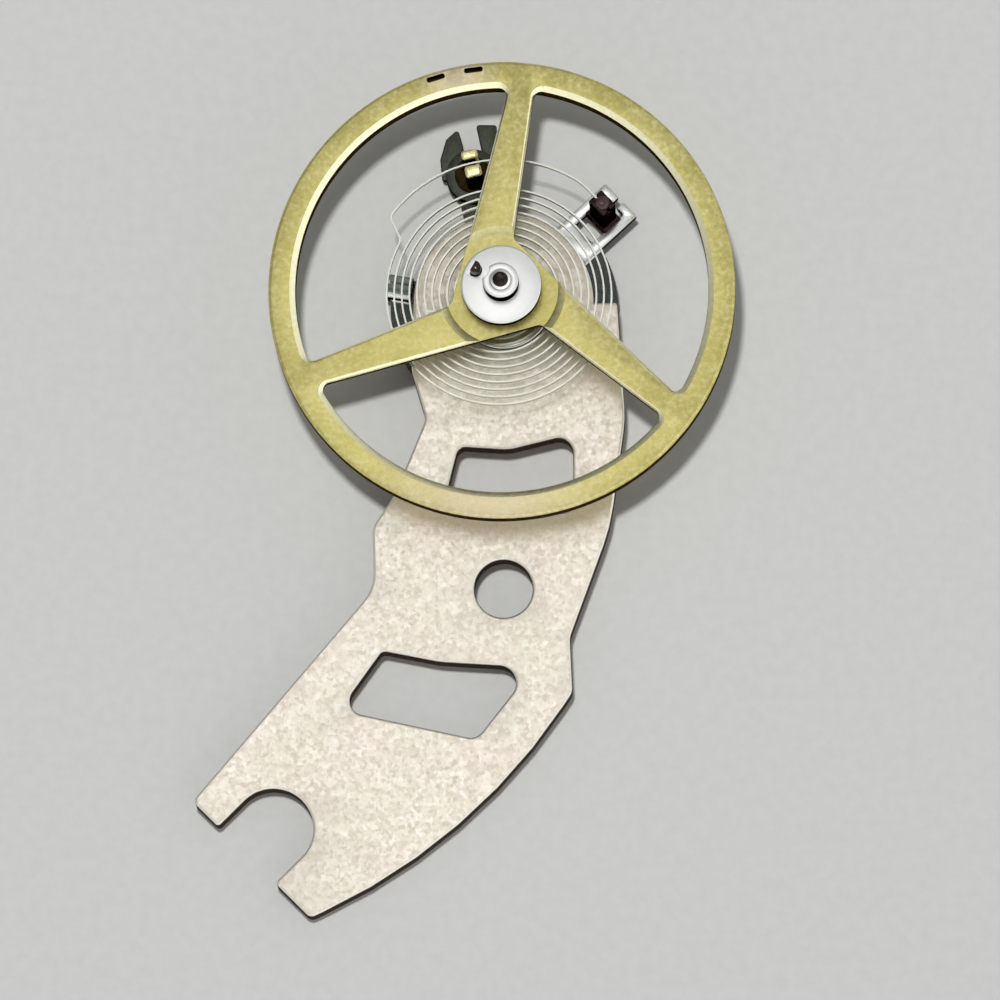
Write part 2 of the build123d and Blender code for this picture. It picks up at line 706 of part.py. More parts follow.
# Bridge: stamped plate with a round head, two windows, a screw hole and a forked end
bridge_points = [(-head_r, 0, 0), *[(x * bridge_reach, y * bridge_reach, r * bridge_reach)
                                    for x, y, r in bridge_outline_shares]]
ear_y = bridge_points[-1][1]
screw_hole_centre = tuple(share * bridge_reach for share in screw_hole_shares)
fork_slot_centre = tuple(share * bridge_reach for share in fork_slot_shares)
with BuildPart() as balance_bridge:
    with BuildSketch(Plane.XY.offset(bridge_back)) as bridge_plan:
        with BuildLine():
            FilletPolyline(
                *[(x, y) for x, y, corner in bridge_points],
                (0, ear_y),
                radius=[corner for x, y, corner in bridge_points] + [0],
                close=True,
            )
        make_face()
        Circle(head_r)
        with Locations(Location(fork_slot_centre, fork_slot_angle)):
            Rectangle(
                bridge_reach,
                2 * fork_slot_r,
                align=(Align.MIN, Align.CENTER),
                mode=Mode.SUBTRACT,
            )
        with Locations(fork_slot_centre):
            Circle(fork_slot_r, mode=Mode.SUBTRACT)
        mouth_corners = bridge_plan.vertices().sort_by_distance(fork_slot_centre)[2:4]
        fillet(mouth_corners, radius=fork_mouth_r)
    extrude(amount=bridge_thickness)
    plan_edges = balance_bridge.edges().group_by(Axis.Z)
    chamfer(plan_edges[0] + plan_edges[-1], length=bridge_edge_chamfer)
    with BuildSketch(Plane.XY.offset(bridge_back)):
        Circle(block_r)
        with Locations(screw_hole_centre):
            Circle(screw_hole_r)
    extrude(amount=bridge_thickness, mode=Mode.SUBTRACT)
    for window_shares in (upper_window_shares, lower_window_shares):
        with BuildSketch(Plane.XY.offset(bridge_back)):
            filleted_outline(window_shares, bridge_reach)
        extrude(amount=bridge_thickness, mode=Mode.SUBTRACT)
balance_bridge.part.label = "balance_bridge"
export_step(balance_bridge.part, "parts/balance_bridge.step")

# Shock block, pressed in the bridge: its neck carries the two rings and its cone seat the jewel setting
with BuildPart() as shock_block:
    with BuildSketch(Plane.XZ):
        with BuildLine():
            Polyline(
                (block_throat_r, block_rise),
                (block_r, block_rise),
                (block_r, bridge_back),
                (block_neck_r, bridge_back),
                (block_neck_r, block_lip_top),
                (ring_bore_r + block_lip_overhang, block_lip_top),
                (ring_bore_r + block_lip_overhang, block_bottom),
                (lyre_lip_r, block_bottom),
                (lyre_lip_r, lyre_bottom - end_play),
                (lyre_groove_r, lyre_bottom - end_play),
                (lyre_groove_r, cap_back + end_play),
                (setting_room_r, cap_back + end_play),
                (setting_room_r, cone_seat_bottom),
                (cone_seat_large_r, cone_seat_bottom),
                (cone_seat_small_r, -cone_seat_top),
                (block_throat_r, -cone_seat_top),
                close=True,
            )
        make_face()
    revolve(axis=Axis.Z)
shock_block.part.label = "shock_block"
export_step(shock_block.part, "parts/shock_block.step")

# Jewel setting: chaton with a cone outside and seats for two jewels inside
with BuildPart() as jewel_setting:
    with BuildSketch(Plane.XZ):
        with BuildLine():
            Polyline(
                (setting_throat_r, setting_top),
                (cone_seat_small_r - running_play, setting_top),
                (cone_seat_large_r - running_play, setting_flange_top),
                (setting_room_r - running_play, setting_flange_top),
                (setting_room_r - running_play, setting_bottom),
                (cap_jewel_r, setting_bottom),
                (cap_jewel_r, cap_face),
                (hole_jewel_r, cap_face),
                (hole_jewel_r, hole_jewel_face),
                (setting_throat_r, hole_jewel_face),
                close=True,
            )
        make_face()
    revolve(axis=Axis.Z)
jewel_setting.part.label = "jewel_setting"
export_step(jewel_setting.part, "parts/jewel_setting.step")

# Hole jewel, round the staff's upper pivot
with BuildPart() as hole_jewel:
    with BuildSketch(Plane.XY.offset(hole_jewel_face)):
        Circle(hole_jewel_r)
        Circle(pivot_r + pivot_play, mode=Mode.SUBTRACT)
    extrude(amount=-hole_jewel_thickness)
hole_jewel.part.label = "hole_jewel"
export_step(hole_jewel.part, "parts/hole_jewel.step")

# Cap jewel, which the pivot's end runs on
with BuildPart() as cap_jewel:
    with BuildSketch(Plane.XY.offset(cap_face)):
        Circle(cap_jewel_r)
    extrude(amount=-cap_jewel_thickness)
cap_jewel.part.label = "cap_jewel"
export_step(cap_jewel.part, "parts/cap_jewel.step")

# Shock spring: open flat lyre in the block's groove, with tongues that press on the cap jewel
lyre_r = lyre_groove_r - running_play
with BuildPart() as shock_spring:
    with BuildSketch(Plane.XY.offset(lyre_bottom)):
        Circle(lyre_r)
        Circle(lyre_r - lyre_band, mode=Mode.SUBTRACT)
        with PolarLocations(lyre_tongue_tip_r, lyre_tongue_count, start_angle=lyre_slit_angle + 180):
            Rectangle(
                lyre_r - lyre_tongue_tip_r - lyre_band / 2,
                lyre_tongue_width,
                align=(Align.MIN, Align.CENTER),
            )
    extrude(amount=lyre_thickness)
    with BuildSketch(turned(lyre_tongue_tip_r, lyre_slit_angle, lyre_bottom)):
        Rectangle(lyre_r, lyre_slit, align=(Align.MIN, Align.CENTER))
    extrude(amount=lyre_thickness, mode=Mode.SUBTRACT)
shock_spring.part.label = "shock_spring"
export_step(shock_spring.part, "parts/shock_spring.step")
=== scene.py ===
from math import atan2, cos, degrees, hypot, pi, radians, sin, sqrt, tan

import bmesh
import bpy
from mathutils import Matrix, Vector
from mathutils.kdtree import KDTree
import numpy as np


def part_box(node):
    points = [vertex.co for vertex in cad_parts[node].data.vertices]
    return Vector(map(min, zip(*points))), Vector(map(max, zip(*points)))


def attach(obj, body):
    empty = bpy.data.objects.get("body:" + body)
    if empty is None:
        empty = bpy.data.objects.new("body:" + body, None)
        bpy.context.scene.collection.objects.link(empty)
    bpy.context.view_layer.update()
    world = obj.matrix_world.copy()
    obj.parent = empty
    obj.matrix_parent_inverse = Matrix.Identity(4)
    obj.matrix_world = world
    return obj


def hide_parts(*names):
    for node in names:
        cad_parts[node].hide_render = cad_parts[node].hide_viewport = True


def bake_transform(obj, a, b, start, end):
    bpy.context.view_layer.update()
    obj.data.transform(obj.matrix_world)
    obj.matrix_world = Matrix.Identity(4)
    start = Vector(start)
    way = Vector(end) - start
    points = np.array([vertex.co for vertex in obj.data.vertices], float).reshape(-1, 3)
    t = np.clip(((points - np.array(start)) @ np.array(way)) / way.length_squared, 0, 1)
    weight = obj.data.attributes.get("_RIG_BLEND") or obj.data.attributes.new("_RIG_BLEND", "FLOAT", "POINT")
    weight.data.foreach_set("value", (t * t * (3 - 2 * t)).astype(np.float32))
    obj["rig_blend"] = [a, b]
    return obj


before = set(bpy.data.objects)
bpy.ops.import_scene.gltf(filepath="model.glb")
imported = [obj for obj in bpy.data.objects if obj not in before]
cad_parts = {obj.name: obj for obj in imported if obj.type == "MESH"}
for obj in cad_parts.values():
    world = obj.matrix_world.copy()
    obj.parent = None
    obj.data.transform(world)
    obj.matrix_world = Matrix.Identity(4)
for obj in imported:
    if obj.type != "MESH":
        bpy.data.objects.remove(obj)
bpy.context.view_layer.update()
print("frame loaded,", len(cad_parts), "nodes")

# Everything is modelled in millimetres and brought to metres when a piece is done
mm = 0.001
overrun = 0.1  # how far a cutter reaches past what it cuts
overlap = 0.01  # how far parts of a piece reach into each other before they are joined
samePoint = 1e-4  # points closer than this are taken as one


def onlySelect(obj):
    bpy.ops.object.select_all(action="DESELECT")
    obj.select_set(True)
    bpy.context.view_layer.objects.active = obj


def startEdit(obj, kind="FACE"):
    onlySelect(obj)
    bpy.ops.object.mode_set(mode="EDIT")
    bpy.ops.mesh.select_mode(type=kind)
    bpy.ops.mesh.select_all(action="SELECT")


def endEdit():
    bpy.ops.object.mode_set(mode="OBJECT")


def pick(obj, kind, test):
    # selects the vertices, edges or faces that pass the test, in edit mode
    bpy.ops.mesh.select_mode(type=kind)
    bpy.ops.mesh.select_all(action="DESELECT")
    mesh = bmesh.from_edit_mesh(obj.data)
    mesh.normal_update()
    for item in {"VERT": mesh.verts, "EDGE": mesh.edges, "FACE": mesh.faces}[kind]:
        if test(item):
            item.select_set(True)
    bmesh.update_edit_mesh(obj.data)


def useModifier(obj, kind, **settings):
    onlySelect(obj)
    modifier = obj.modifiers.new(kind.title(), kind)
    for name, value in settings.items():
        setattr(modifier, name, value)
    bpy.ops.object.modifier_apply(modifier=modifier.name)


def combine(obj, other, operation="DIFFERENCE"):
    useModifier(obj, "BOOLEAN", operation=operation, solver="EXACT", object=other)
    bpy.data.objects.remove(other)


def join(obj, other):
    combine(obj, other, "UNION")


def paintFaces(piece, index, test):
    # gives another of the piece's materials to the faces that pass the test, which takes a face's centre
    # in millimetres and how far upwards it looks: 1 is level, 0 is a wall
    for face in piece.data.polygons:
        if test(face.center / mm, face.normal.z):
            face.material_index = index


def softenEdges(obj, width, segments=2, angle=32):
    useModifier(obj, "BEVEL", width=width, segments=segments, limit_method="ANGLE",
                angle_limit=radians(angle), use_clamp_overlap=False, miter_outer="MITER_ARC")


def cleanMesh(obj, gap=samePoint):
    startEdit(obj, "VERT")
    bpy.ops.mesh.remove_doubles(threshold=gap)
    bpy.ops.mesh.normals_make_consistent(inside=False)
    endEdit()


def polar(distance, angle):
    return Vector((distance * cos(radians(angle)), distance * sin(radians(angle)), 0))


def arcPoints(centre, radius, start, turn, steps):
    # along an arc, from its start to the point before its end
    return [centre + polar(radius, start + turn * n / steps) for n in range(steps)]


def lift(height):
    return Vector((0, 0, height))


def block(name, centre, size, angle=0, corner=0, cornerSteps=4):
    # a box that can be turned about its own centre, its upright edges rounded
    bpy.ops.mesh.primitive_cube_add(size=1, location=(0, 0, 0))
    box = bpy.context.object
    box.name = name
    box.scale = size
    bpy.ops.object.transform_apply(scale=True)
    if corner:
        startEdit(box, "EDGE")
        pick(box, "EDGE", lambda edge: abs(edge.verts[0].co.z - edge.verts[1].co.z) > size[2] / 2)
        bpy.ops.mesh.bevel(offset=corner, segments=cornerSteps)
        endEdit()
    box.rotation_euler.z = radians(angle)
    box.location = centre
    bpy.ops.object.transform_apply(location=True, rotation=True)
    return box


def radialBlock(name, start, end, width, low, high, angle, corner=0):
    # a block that points away from the axis, from one distance to another
    middle = polar((start + end) / 2, angle) + lift((low + high) / 2)
    return block(name, middle, (end - start, width, high - low), angle, corner)


def through(part):
    # the heights between which a cutter goes right through the part
    return part["low"] - overrun, part["high"] + overrun


def cutSlit(piece, part, inner, outer):
    # opens a ring, from inside its bore to outside its rim
    combine(piece, radialBlock("slit", inner - overrun, outer + overrun, part["slit"], *through(part),
                               part["slitAngle"]))


def disc(name, radius, low, high, centre=(0, 0), steps=128):
    bpy.ops.mesh.primitive_cylinder_add(
        vertices=steps, radius=radius, depth=high - low, location=(*centre, (low + high) / 2))
    made = bpy.context.object
    made.name = name
    bpy.ops.object.transform_apply(location=True)
    return made


def turnedPiece(name, section, centre=(0, 0), steps=128):
    # one vertex is drawn along half the section, (radius, height), and spun round the axis
    bpy.ops.mesh.primitive_plane_add(size=1, location=(0, 0, 0))
    piece = bpy.context.object
    piece.name = name
    startEdit(piece, "VERT")
    bpy.ops.mesh.merge(type="CENTER")
    bpy.ops.mesh.select_all(action="SELECT")
    bpy.ops.transform.translate(value=(section[0][0], 0, section[0][1]))
    for before, after in zip(section, section[1:]):
        step = (after[0] - before[0], 0, after[1] - before[1])
        bpy.ops.mesh.extrude_region_move(TRANSFORM_OT_translate={"value": step})
    bpy.ops.mesh.select_all(action="SELECT")
    bpy.ops.mesh.spin(steps=steps, angle=2 * pi, center=(0, 0, 0), axis=(0, 0, 1))
    endEdit()
    cleanMesh(piece)
    piece.location = (*centre, 0)
    bpy.ops.object.transform_apply(location=True)
    return piece


def roundedOutline(corners, step=5):
    # corners are (x, y, radius), and each becomes an arc tangent to both of its sides
    points = []
    for i, (x, y, radius) in enumerate(corners):
        here = Vector((x, y))
        towardsLast = (Vector(corners[i - 1][:2]) - here).normalized()
        towardsNext = (Vector(corners[(i + 1) % len(corners)][:2]) - here).normalized()
        if radius == 0:
            points.append(here)
            continue
        half = towardsLast.angle(towardsNext) / 2
        centre = here + (towardsLast + towardsNext).normalized() * radius / sin(half)
        start = here + towardsLast * radius / tan(half) - centre
        end = here + towardsNext * radius / tan(half) - centre
        turn = atan2(start.x * end.y - start.y * end.x, start.dot(end))
        steps = max(2, round(degrees(abs(turn)) / step))
        for n in range(steps + 1):
            points.append(centre + Matrix.Rotation(turn * n / steps, 2) @ start)
    return [p for i, p in enumerate(points) if (p - points[i - 1]).length > samePoint]


def newObject(name, data):
    made = bpy.data.objects.new(name, data)
    bpy.context.scene.collection.objects.link(made)
    return made


def curvePiece(name, loops, level, fill, closed, **settings):
    # a flat curve through the loops' points, made a mesh at its level
    curve = bpy.data.curves.new(name, "CURVE")
    curve.dimensions = "2D"
    curve.fill_mode = fill
    for loop in loops:
        spline = curve.splines.new("POLY")
        spline.points.add(len(loop) - 1)
        for point, place in zip(spline.points, loop):
            point.co = (*place.xy, 0, 1)
        spline.use_cyclic_u = closed
    for setting, value in settings.items():
        setattr(curve, setting, value)
    made = newObject(name, curve)
    made.location.z = level
    onlySelect(made)
    bpy.ops.object.convert(target="MESH")
    bpy.ops.object.transform_apply(location=True)
    return bpy.context.object


def flatPlate(name, loops, low, high, edge=0.0, rounds=2):
    # a plate with rounded edges: the first loop is its outline, the others are holes
    plate = curvePiece(name, loops, (low + high) / 2, "BOTH", True, extrude=(high - low) / 2 - edge,
                       bevel_depth=edge, bevel_resolution=rounds, offset=-edge)
    cleanMesh(plate)
    return plate


def loftedBlock(name, levels):
    # closed outlines of equally many points, one above the other, bridged and capped
    rings = []
    for height, outline in levels:
        bpy.ops.mesh.primitive_circle_add(vertices=len(outline), radius=1, location=(0, 0, 0))
        ring = bpy.context.object
        for vertex, point in zip(ring.data.vertices, outline):
            vertex.co = (point.x, point.y, height)
        rings.append(ring)
    bpy.ops.object.select_all(action="DESELECT")
    for ring in rings:
        ring.select_set(True)
    bpy.context.view_layer.objects.active = rings[0]
    bpy.ops.object.join()
    made = rings[0]
    made.name = name
    startEdit(made, "EDGE")
    bpy.ops.mesh.bridge_edge_loops()
    for height in (levels[0][0], levels[-1][0]):
        pick(made, "EDGE", lambda edge: all(abs(v.co.z - height) < samePoint for v in edge.verts))
        bpy.ops.mesh.edge_face_add()
    endEdit()
    cleanMesh(made)
    return made


def settle(piece, body, nodes, slotName, *materials, smooth=32, flatter=50):
    # to metres, smoothed, finished and put on its body in place of its CAD nodes
    onlySelect(piece)
    piece.scale = (mm, mm, mm)
    bpy.ops.object.transform_apply(scale=True)
    bpy.ops.object.shade_smooth_by_angle(angle=radians(smooth))
    useModifier(piece, "WEIGHTED_NORMAL", keep_sharp=True, weight=flatter)
    for material in materials:
        piece.data.materials.append(material)
    if body:
        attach(piece, body)
    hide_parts(*nodes)
    print("piece ready:", piece.name, len(piece.data.polygons), "faces")
    return piece


def easeBlend(piece, shareAt):
    # sets how much of the second body's motion each vertex takes, eased at both ends
    for vertex, weight in zip(piece.data.vertices, piece.data.attributes["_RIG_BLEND"].data):
        share = min(1, max(0, shareAt(vertex.co.xy / mm)))
        weight.value = share * share * (3 - 2 * share)


# Node helpers: inputs are given by name, and an output socket given as a value is linked
def addNode(material, kind, inputs={}, **settings):
    node = material.node_tree.nodes.new("ShaderNode" + kind)
    for name, value in settings.items():
        setattr(node, name, value)
    setInputs(material, node, inputs)
    return node


def setInputs(material, node, inputs):
    for name, value in inputs.items():
        if isinstance(value, bpy.types.NodeSocket):
            material.node_tree.links.new(value, node.inputs[name])
        else:
            node.inputs[name].default_value = value


def newFinish(name, **plain):
    # a material with its shader's plain values set, such as metallic=1
    material = bpy.data.materials.new(name)
    material.use_nodes = True
    shader = material.node_tree.nodes["Principled BSDF"]
    for key, value in plain.items():
        shader.inputs[key.replace("_", " ").title().replace("Ior", "IOR")].default_value = value
    return material, shader


def fromObject(material, stretch=(1, 1, 1), turn=0):
    # coordinates in millimetres on the piece, so that a scale of 10 is a grain of a tenth
    place = addNode(material, "TexCoord")
    mapping = addNode(material, "Mapping", {"Vector": place.outputs["Object"]})
    mapping.inputs["Scale"].default_value = [s / mm for s in stretch]
    mapping.inputs["Rotation"].default_value = (0, 0, radians(turn))
    return mapping.outputs["Vector"]


def noise(material, place, scale, detail=3, roughness=0.55):
    return addNode(material, "TexNoise", {"Vector": place, "Scale": scale, "Detail": detail,
                                          "Roughness": roughness}).outputs["Fac"]


def ramp(material, factor, *stops):
    # stops are (place, colour)
    node = addNode(material, "ValToRGB", {"Fac": factor})
    elements = node.color_ramp.elements
    while len(elements) < len(stops):
        elements.new(0.5)
    for element, (place, colour) in zip(elements, stops):
        element.position = place
        element.color = (*colour, 1)
    return node.outputs["Color"]


def between(material, value, low, high, fromLow=0.3, fromHigh=0.7):
    return addNode(material, "MapRange", {"Value": value, "From Min": fromLow, "From Max": fromHigh,
                                          "To Min": low, "To Max": high}).outputs["Result"]


def blended(material, factor, first, second, kind="MIX"):
    node = addNode(material, "Mix", {"Factor": factor}, data_type="RGBA", blend_type=kind)
    setInputs(material, node, {6: first, 7: second})
    return node.outputs[2]


def bump(material, height, depth):
    # depth is in millimetres
    return addNode(material, "Bump", {"Height": height, "Strength": 1.0,
                                      "Distance": depth * mm}).outputs["Normal"]


print("making finishes")


def calculated(material, operation, first, second):
    return addNode(material, "Math", {0: first, 1: second}, operation=operation).outputs[0]


def spot(material, place, centre, inner, outer):
    # 1 within the inner distance of a point on the piece, fading to 0 at the outer one
    distance = addNode(material, "VectorMath", {0: place, 1: centre}, operation="DISTANCE").outputs["Value"]
    return between(material, distance, 1, 0, inner, outer)


# the wheel's copper-tinted places: centre, distance to which the tint is full, and at which it ends
copperTint = {"atSlots": ((-0.92, 4.45, 1.25), 0.25, 0.95), "opposite": ((-0.3, -4.6, 1.25), 0.4, 2.6),
         "share": 0.75}


def satinBrass():
    # the wheel's faces: a fine mottle, a few darker stains, a soft grain, and a copper tint round the
    # slots and on the rim's far side from them
    material, shader = newFinish("satinBrass", metallic=1)
    place = fromObject(material)
    mottle = noise(material, place, 9, detail=5, roughness=0.7)
    stains = noise(material, place, 1.3, detail=3)
    grain = noise(material, place, 30, detail=2)
    tone = ramp(material, mottle, (0.3, (0.50, 0.44, 0.14)), (0.5, (0.65, 0.59, 0.23)),
                (0.7, (0.85, 0.79, 0.41)))
    stained = ramp(material, stains, (0.35, (0.86, 0.84, 0.74)), (0.6, (1.0, 0.98, 0.95)))
    brass = blended(material, 1.0, tone, stained, "MULTIPLY")
    tint = ramp(material, mottle, (0.3, (0.60, 0.50, 0.33)), (0.7, (0.84, 0.74, 0.54)))
    tintPlaces = calculated(material, "MAXIMUM", spot(material, place, *copperTint["atSlots"]),
                         spot(material, place, *copperTint["opposite"]))
    share = calculated(material, "MULTIPLY", tintPlaces, copperTint["share"])
    setInputs(material, shader, {"Base Color": blended(material, share, brass, tint),
                                 "Roughness": between(material, mottle, 0.32, 0.46),
                                 "Normal": bump(material, grain, 0.0015)})
    return material


def metal(name, low, high, roughLow, roughHigh, scale, detail, depth=0, edges=(0.3, 0.7), stretch=(1, 1, 1),
          turn=0, **plain):
    # a metal whose colour, roughness and height all wander with one noise
    material, shader = newFinish(name, metallic=1, **plain)
    grain = noise(material, fromObject(material, stretch, turn), scale, detail)
    setInputs(material, shader, {"Base Color": ramp(material, grain, (edges[0], low), (edges[1], high)),
                                 "Roughness": between(material, grain, roughLow, roughHigh)})
    if depth:
        setInputs(material, shader, {"Normal": bump(material, grain, depth)})
    return material


def frostedNickel():
    # the bridge: a frosted plate with a cream and pink sparkle
    material, shader = newFinish("frostedNickel", metallic=1)
    place = fromObject(material)
    flakes = addNode(material, "TexVoronoi", {"Vector": place, "Scale": 13.0}).outputs["Color"]
    flakeTone = addNode(material, "SeparateColor", {"Color": flakes}).outputs["Red"]
    cloud = noise(material, place, 5.5, detail=5, roughness=0.75)
    drift = noise(material, place, 0.7, detail=2)
    flakeShare = 0.32
    speckle = calculated(material, "ADD", calculated(material, "MULTIPLY", flakeTone, flakeShare), cloud)
    tone = ramp(material, speckle, (0.42, (0.84, 0.78, 0.67)), (0.66, (0.94, 0.89, 0.78)),
                (0.92, (1.0, 0.97, 0.90)))
    hue = ramp(material, drift, (0.35, (1.0, 0.985, 0.94)), (0.65, (1.0, 0.95, 0.93)))
    setInputs(material, shader, {
        "Base Color": blended(material, 1.0, tone, hue, "MULTIPLY"),
        "Roughness": between(material, speckle, 0.5, 0.36, 0.4, 0.95),
        "Normal": bump(material, speckle, 0.004)})
    return material


def turnedSteel():
    # rollers: faint rings round the axis
    material, shader = newFinish("turnedSteel", metallic=1)
    place = fromObject(material)
    rings = addNode(material, "TexWave", {"Vector": place, "Scale": 9.0, "Distortion": 0.4, "Detail": 2.0},
                    wave_type="RINGS", rings_direction="Z").outputs["Fac"]
    haze = noise(material, place, 2.2, detail=3)
    colour = ramp(material, haze, (0.3, (0.80, 0.80, 0.77)), (0.7, (0.90, 0.90, 0.87)))
    setInputs(material, shader, {"Base Color": colour, "Roughness": between(material, haze, 0.34, 0.38),
                                 "Normal": bump(material, rings, 0.0002)})
    return material


def ruby(name, low, high, clear, shine=0.5):
    material, shader = newFinish(name, roughness=0.06, ior=1.76, transmission_weight=clear,
                                 specular_ior_level=shine)
    place = fromObject(material)
    depth = noise(material, place, 6.0, detail=1)
    setInputs(material, shader, {"Base Color": ramp(material, depth, (0.3, low), (0.7, high))})
    return material


def setResin():
    material, shader = newFinish("setResin", ior=1.52, coat_weight=0.6, coat_roughness=0.08)
    place = fromObject(material)
    swirl = noise(material, place, 8.0, detail=3)
    setInputs(material, shader, {
        "Base Color": ramp(material, swirl, (0.3, (0.008, 0.003, 0.003)), (0.7, (0.045, 0.012, 0.009))),
        "Roughness": between(material, swirl, 0.16, 0.35),
        "Normal": bump(material, swirl, 0.006)})
    return material


def cutBrass(name, low, high, roughLow, roughHigh, depth=0.0003, **plain):
    # turned or cut brass with fine streaks
    return metal(name, low, high, roughLow, roughHigh, 9, 2, depth, (0.35, 0.65), **plain)


def grainedSteel(name, low, high, roughLow, roughHigh, depth=0.0012, **plain):
    # brushed one way
    return metal(name, low, high, roughLow, roughHigh, 22, 4, depth, stretch=(1, 0.35, 1), turn=20, **plain)


satinBrassFinish = satinBrass()
# pale cut brass for the window bevels: a polished cut, and its pale colour a painted highlight
paintedHighlightCutBrassFinish = cutBrass("diamondCutBrassPaintedHighlight", (0.95, 0.89, 0.54), (1.0, 0.97, 0.68), 0.2, 0.26, 0.0001)
jawBrassFinish = cutBrass("jawBrass", (0.84, 0.72, 0.30), (1.0, 0.92, 0.56), 0.2, 0.3)
# bright brass for the hub's chamfer: painted highlight
paintedHighlightHubBrassFinish = cutBrass("hubBrassPaintedHighlight", (0.84, 0.76, 0.33), (1.0, 0.93, 0.50), 0.3, 0.36)
# dark brass for the wheel's walls: painted shade
paintedShadeWallBrassFinish = cutBrass("paintedShadeWallBrass", (0.05, 0.03, 0.008), (0.10, 0.065, 0.018), 0.5, 0.6, 0.0001,
                           specular_tint=(0.15, 0.09, 0.03, 1))
# near-black brass for the wheel's slots and the key's lower parts: painted shade
shadedBrassFinish = cutBrass("shadedBrass", (0.018, 0.011, 0.004), (0.05, 0.032, 0.011), 0.34, 0.44,
                             specular_tint=(0.1, 0.07, 0.04, 1))
nickelFinish = frostedNickel()
edgeNickelFinish = grainedSteel("rolledEdge", (0.80, 0.76, 0.67), (0.92, 0.88, 0.79), 0.3, 0.4)
# dark nickel for the bridge's walls: painted shade
paintedShadeWallNickelFinish = grainedSteel("shearedWallPaintedShade", (0.10, 0.085, 0.07), (0.18, 0.155, 0.125), 0.4, 0.5,
                                specular_tint=(0.14, 0.12, 0.1, 1))
steelFinish = metal("polishedSteel", (0.86, 0.86, 0.84), (0.95, 0.95, 0.93), 0.1, 0.2, 3, 3)
# near-white satin steel for the stud carrier's fork: a satin finish, its near-white a painted highlight
paintedHighlightSatinFinish = grainedSteel("satinSteelPaintedHighlight", (0.93, 0.96, 0.92), (1.0, 1.0, 0.98), 0.27, 0.33, 0.0002)
lugFinish = grainedSteel("greySteel", (0.17, 0.19, 0.17), (0.28, 0.31, 0.28), 0.34, 0.44)
rollerFinish = turnedSteel()
# near-black steel for walls: painted shade
shadedSteelFinish = grainedSteel("shadedSteel", (0.02, 0.018, 0.015), (0.05, 0.045, 0.04), 0.2, 0.3,
                                 specular_tint=(0.1, 0.1, 0.1, 1))
# dark steel for the stud carrier's ring: a painted dark reflection
paintedDarkReflectionRingFinish = grainedSteel("ringSteelPaintedDarkReflection", (0.06, 0.067, 0.063), (0.11, 0.12, 0.115), 0.2, 0.3)
prongFinish = grainedSteel("satinDarkSteel", (0.06, 0.065, 0.05), (0.11, 0.12, 0.095), 0.34, 0.46)
# near-black steel for the staff's pivot tip: a painted dark reflection
paintedDarkReflectionPivotFinish = grainedSteel("pivotPaintedDarkReflection", (0.02, 0.016, 0.012), (0.05, 0.04, 0.035), 0.2, 0.3)
studFinish = grainedSteel("studSteel", (0.02, 0.012, 0.013), (0.06, 0.035, 0.035), 0.24, 0.34,
                          specular_tint=(0.2, 0.12, 0.12, 1))
springFinish = metal("springAlloy", (0.56, 0.57, 0.49), (0.72, 0.73, 0.64), 0.28, 0.4, 3, 2)
rubyFinish = ruby("ruby", (0.16, 0.002, 0.012), (0.30, 0.005, 0.03), 0.6)
deepRubyFinish = ruby("deepRuby", (0.007, 0.003, 0.002), (0.03, 0.005, 0.006), 0.1, 0.2)
resinFinish = setResin()

# In the dictionaries, names that end in Up are limits of how far upwards a face looks
wheel = {"radius": 4.8, "rimWidth": 0.56, "low": 0.8, "high": 1.25, "web": 1.03, "edge": 0.06,
         "hubRadius": 1.16, "hubFloor": 1.19, "hubEdge": 0.16, "bore": 0.5, "spokes": 3, "spokeAngle": 82.1,
         "taper": 6.7, "leadOffset": 0.095, "trailOffset": 0.93, "corner": 0.16,
         "bevelDepth": 0.07, "spokeBevel": 0.06, "rimBevel": 0.12, "wallCut": 0.005, "softness": 0.012,
         "slotAngles": (97.2, 107), "slotDistance": 4.66, "slotSize": (0.1, 0.38, 0.4),
         "slotCorner": 0.04, "pastBevel": 0.05, "wallUp": 0.35, "slopeUp": 0.8, "flatUp": 0.97}


def windowOutline(number, radius, shift, corner):
    # clockwise along a window's edge: lead spoke, rim, trail spoke, with an arc in each corner
    lead = wheel["spokeAngle"] - number * 360 / wheel["spokes"]
    trail = lead - 360 / wheel["spokes"] - wheel["taper"]
    leadSide, trailSide = polar(1, lead - 90), polar(1, trail + 90)
    leadOffset = wheel["leadOffset"] - shift + corner
    trailOffset = wheel["trailOffset"] - shift + corner
    reach = radius - corner
    atLead = leadSide * leadOffset + polar(sqrt(reach ** 2 - leadOffset ** 2), lead)
    atTrail = trailSide * trailOffset + polar(sqrt(reach ** 2 - trailOffset ** 2), trail)
    turn = leadSide.dot(trailSide)
    atHub = (leadSide * (leadOffset - trailOffset * turn)
             + trailSide * (trailOffset - leadOffset * turn)) / (1 - turn ** 2)
    angles = [degrees(atan2(p.y, p.x)) for p in (-leadSide, atLead, atTrail, -trailSide)]
    points = []
    cornerSteps, rimSteps = 8, 72
    for centre, size, first, last, steps in ((atLead, corner, angles[0], angles[1], cornerSteps),
                                             (Vector(), radius, angles[1], angles[2], rimSteps),
                                             (atTrail, corner, angles[2], angles[3], cornerSteps),
                                             (atHub, corner, angles[3], angles[0], cornerSteps)):
        points += arcPoints(centre, size, first, -((first - last) % 360), steps)
    return points


def windowCutter(number):
    # straight walls up to the bevel's foot, and from there a slope wider at the rim than at the spokes
    w = wheel
    inner = w["radius"] - w["rimWidth"] + w["wallCut"]
    foot = w["high"] - w["bevelDepth"]
    growth = 1 + overrun / w["bevelDepth"]
    upright = windowOutline(number, inner, 0, w["corner"])
    wide = windowOutline(number, inner + w["rimBevel"] * growth, w["spokeBevel"] * growth,
                         w["corner"] + (w["rimBevel"] + w["spokeBevel"]) / 2 * growth)
    return loftedBlock("window", ((w["low"] - overrun, upright), (foot, upright),
                                  (w["high"] + overrun, wide)))


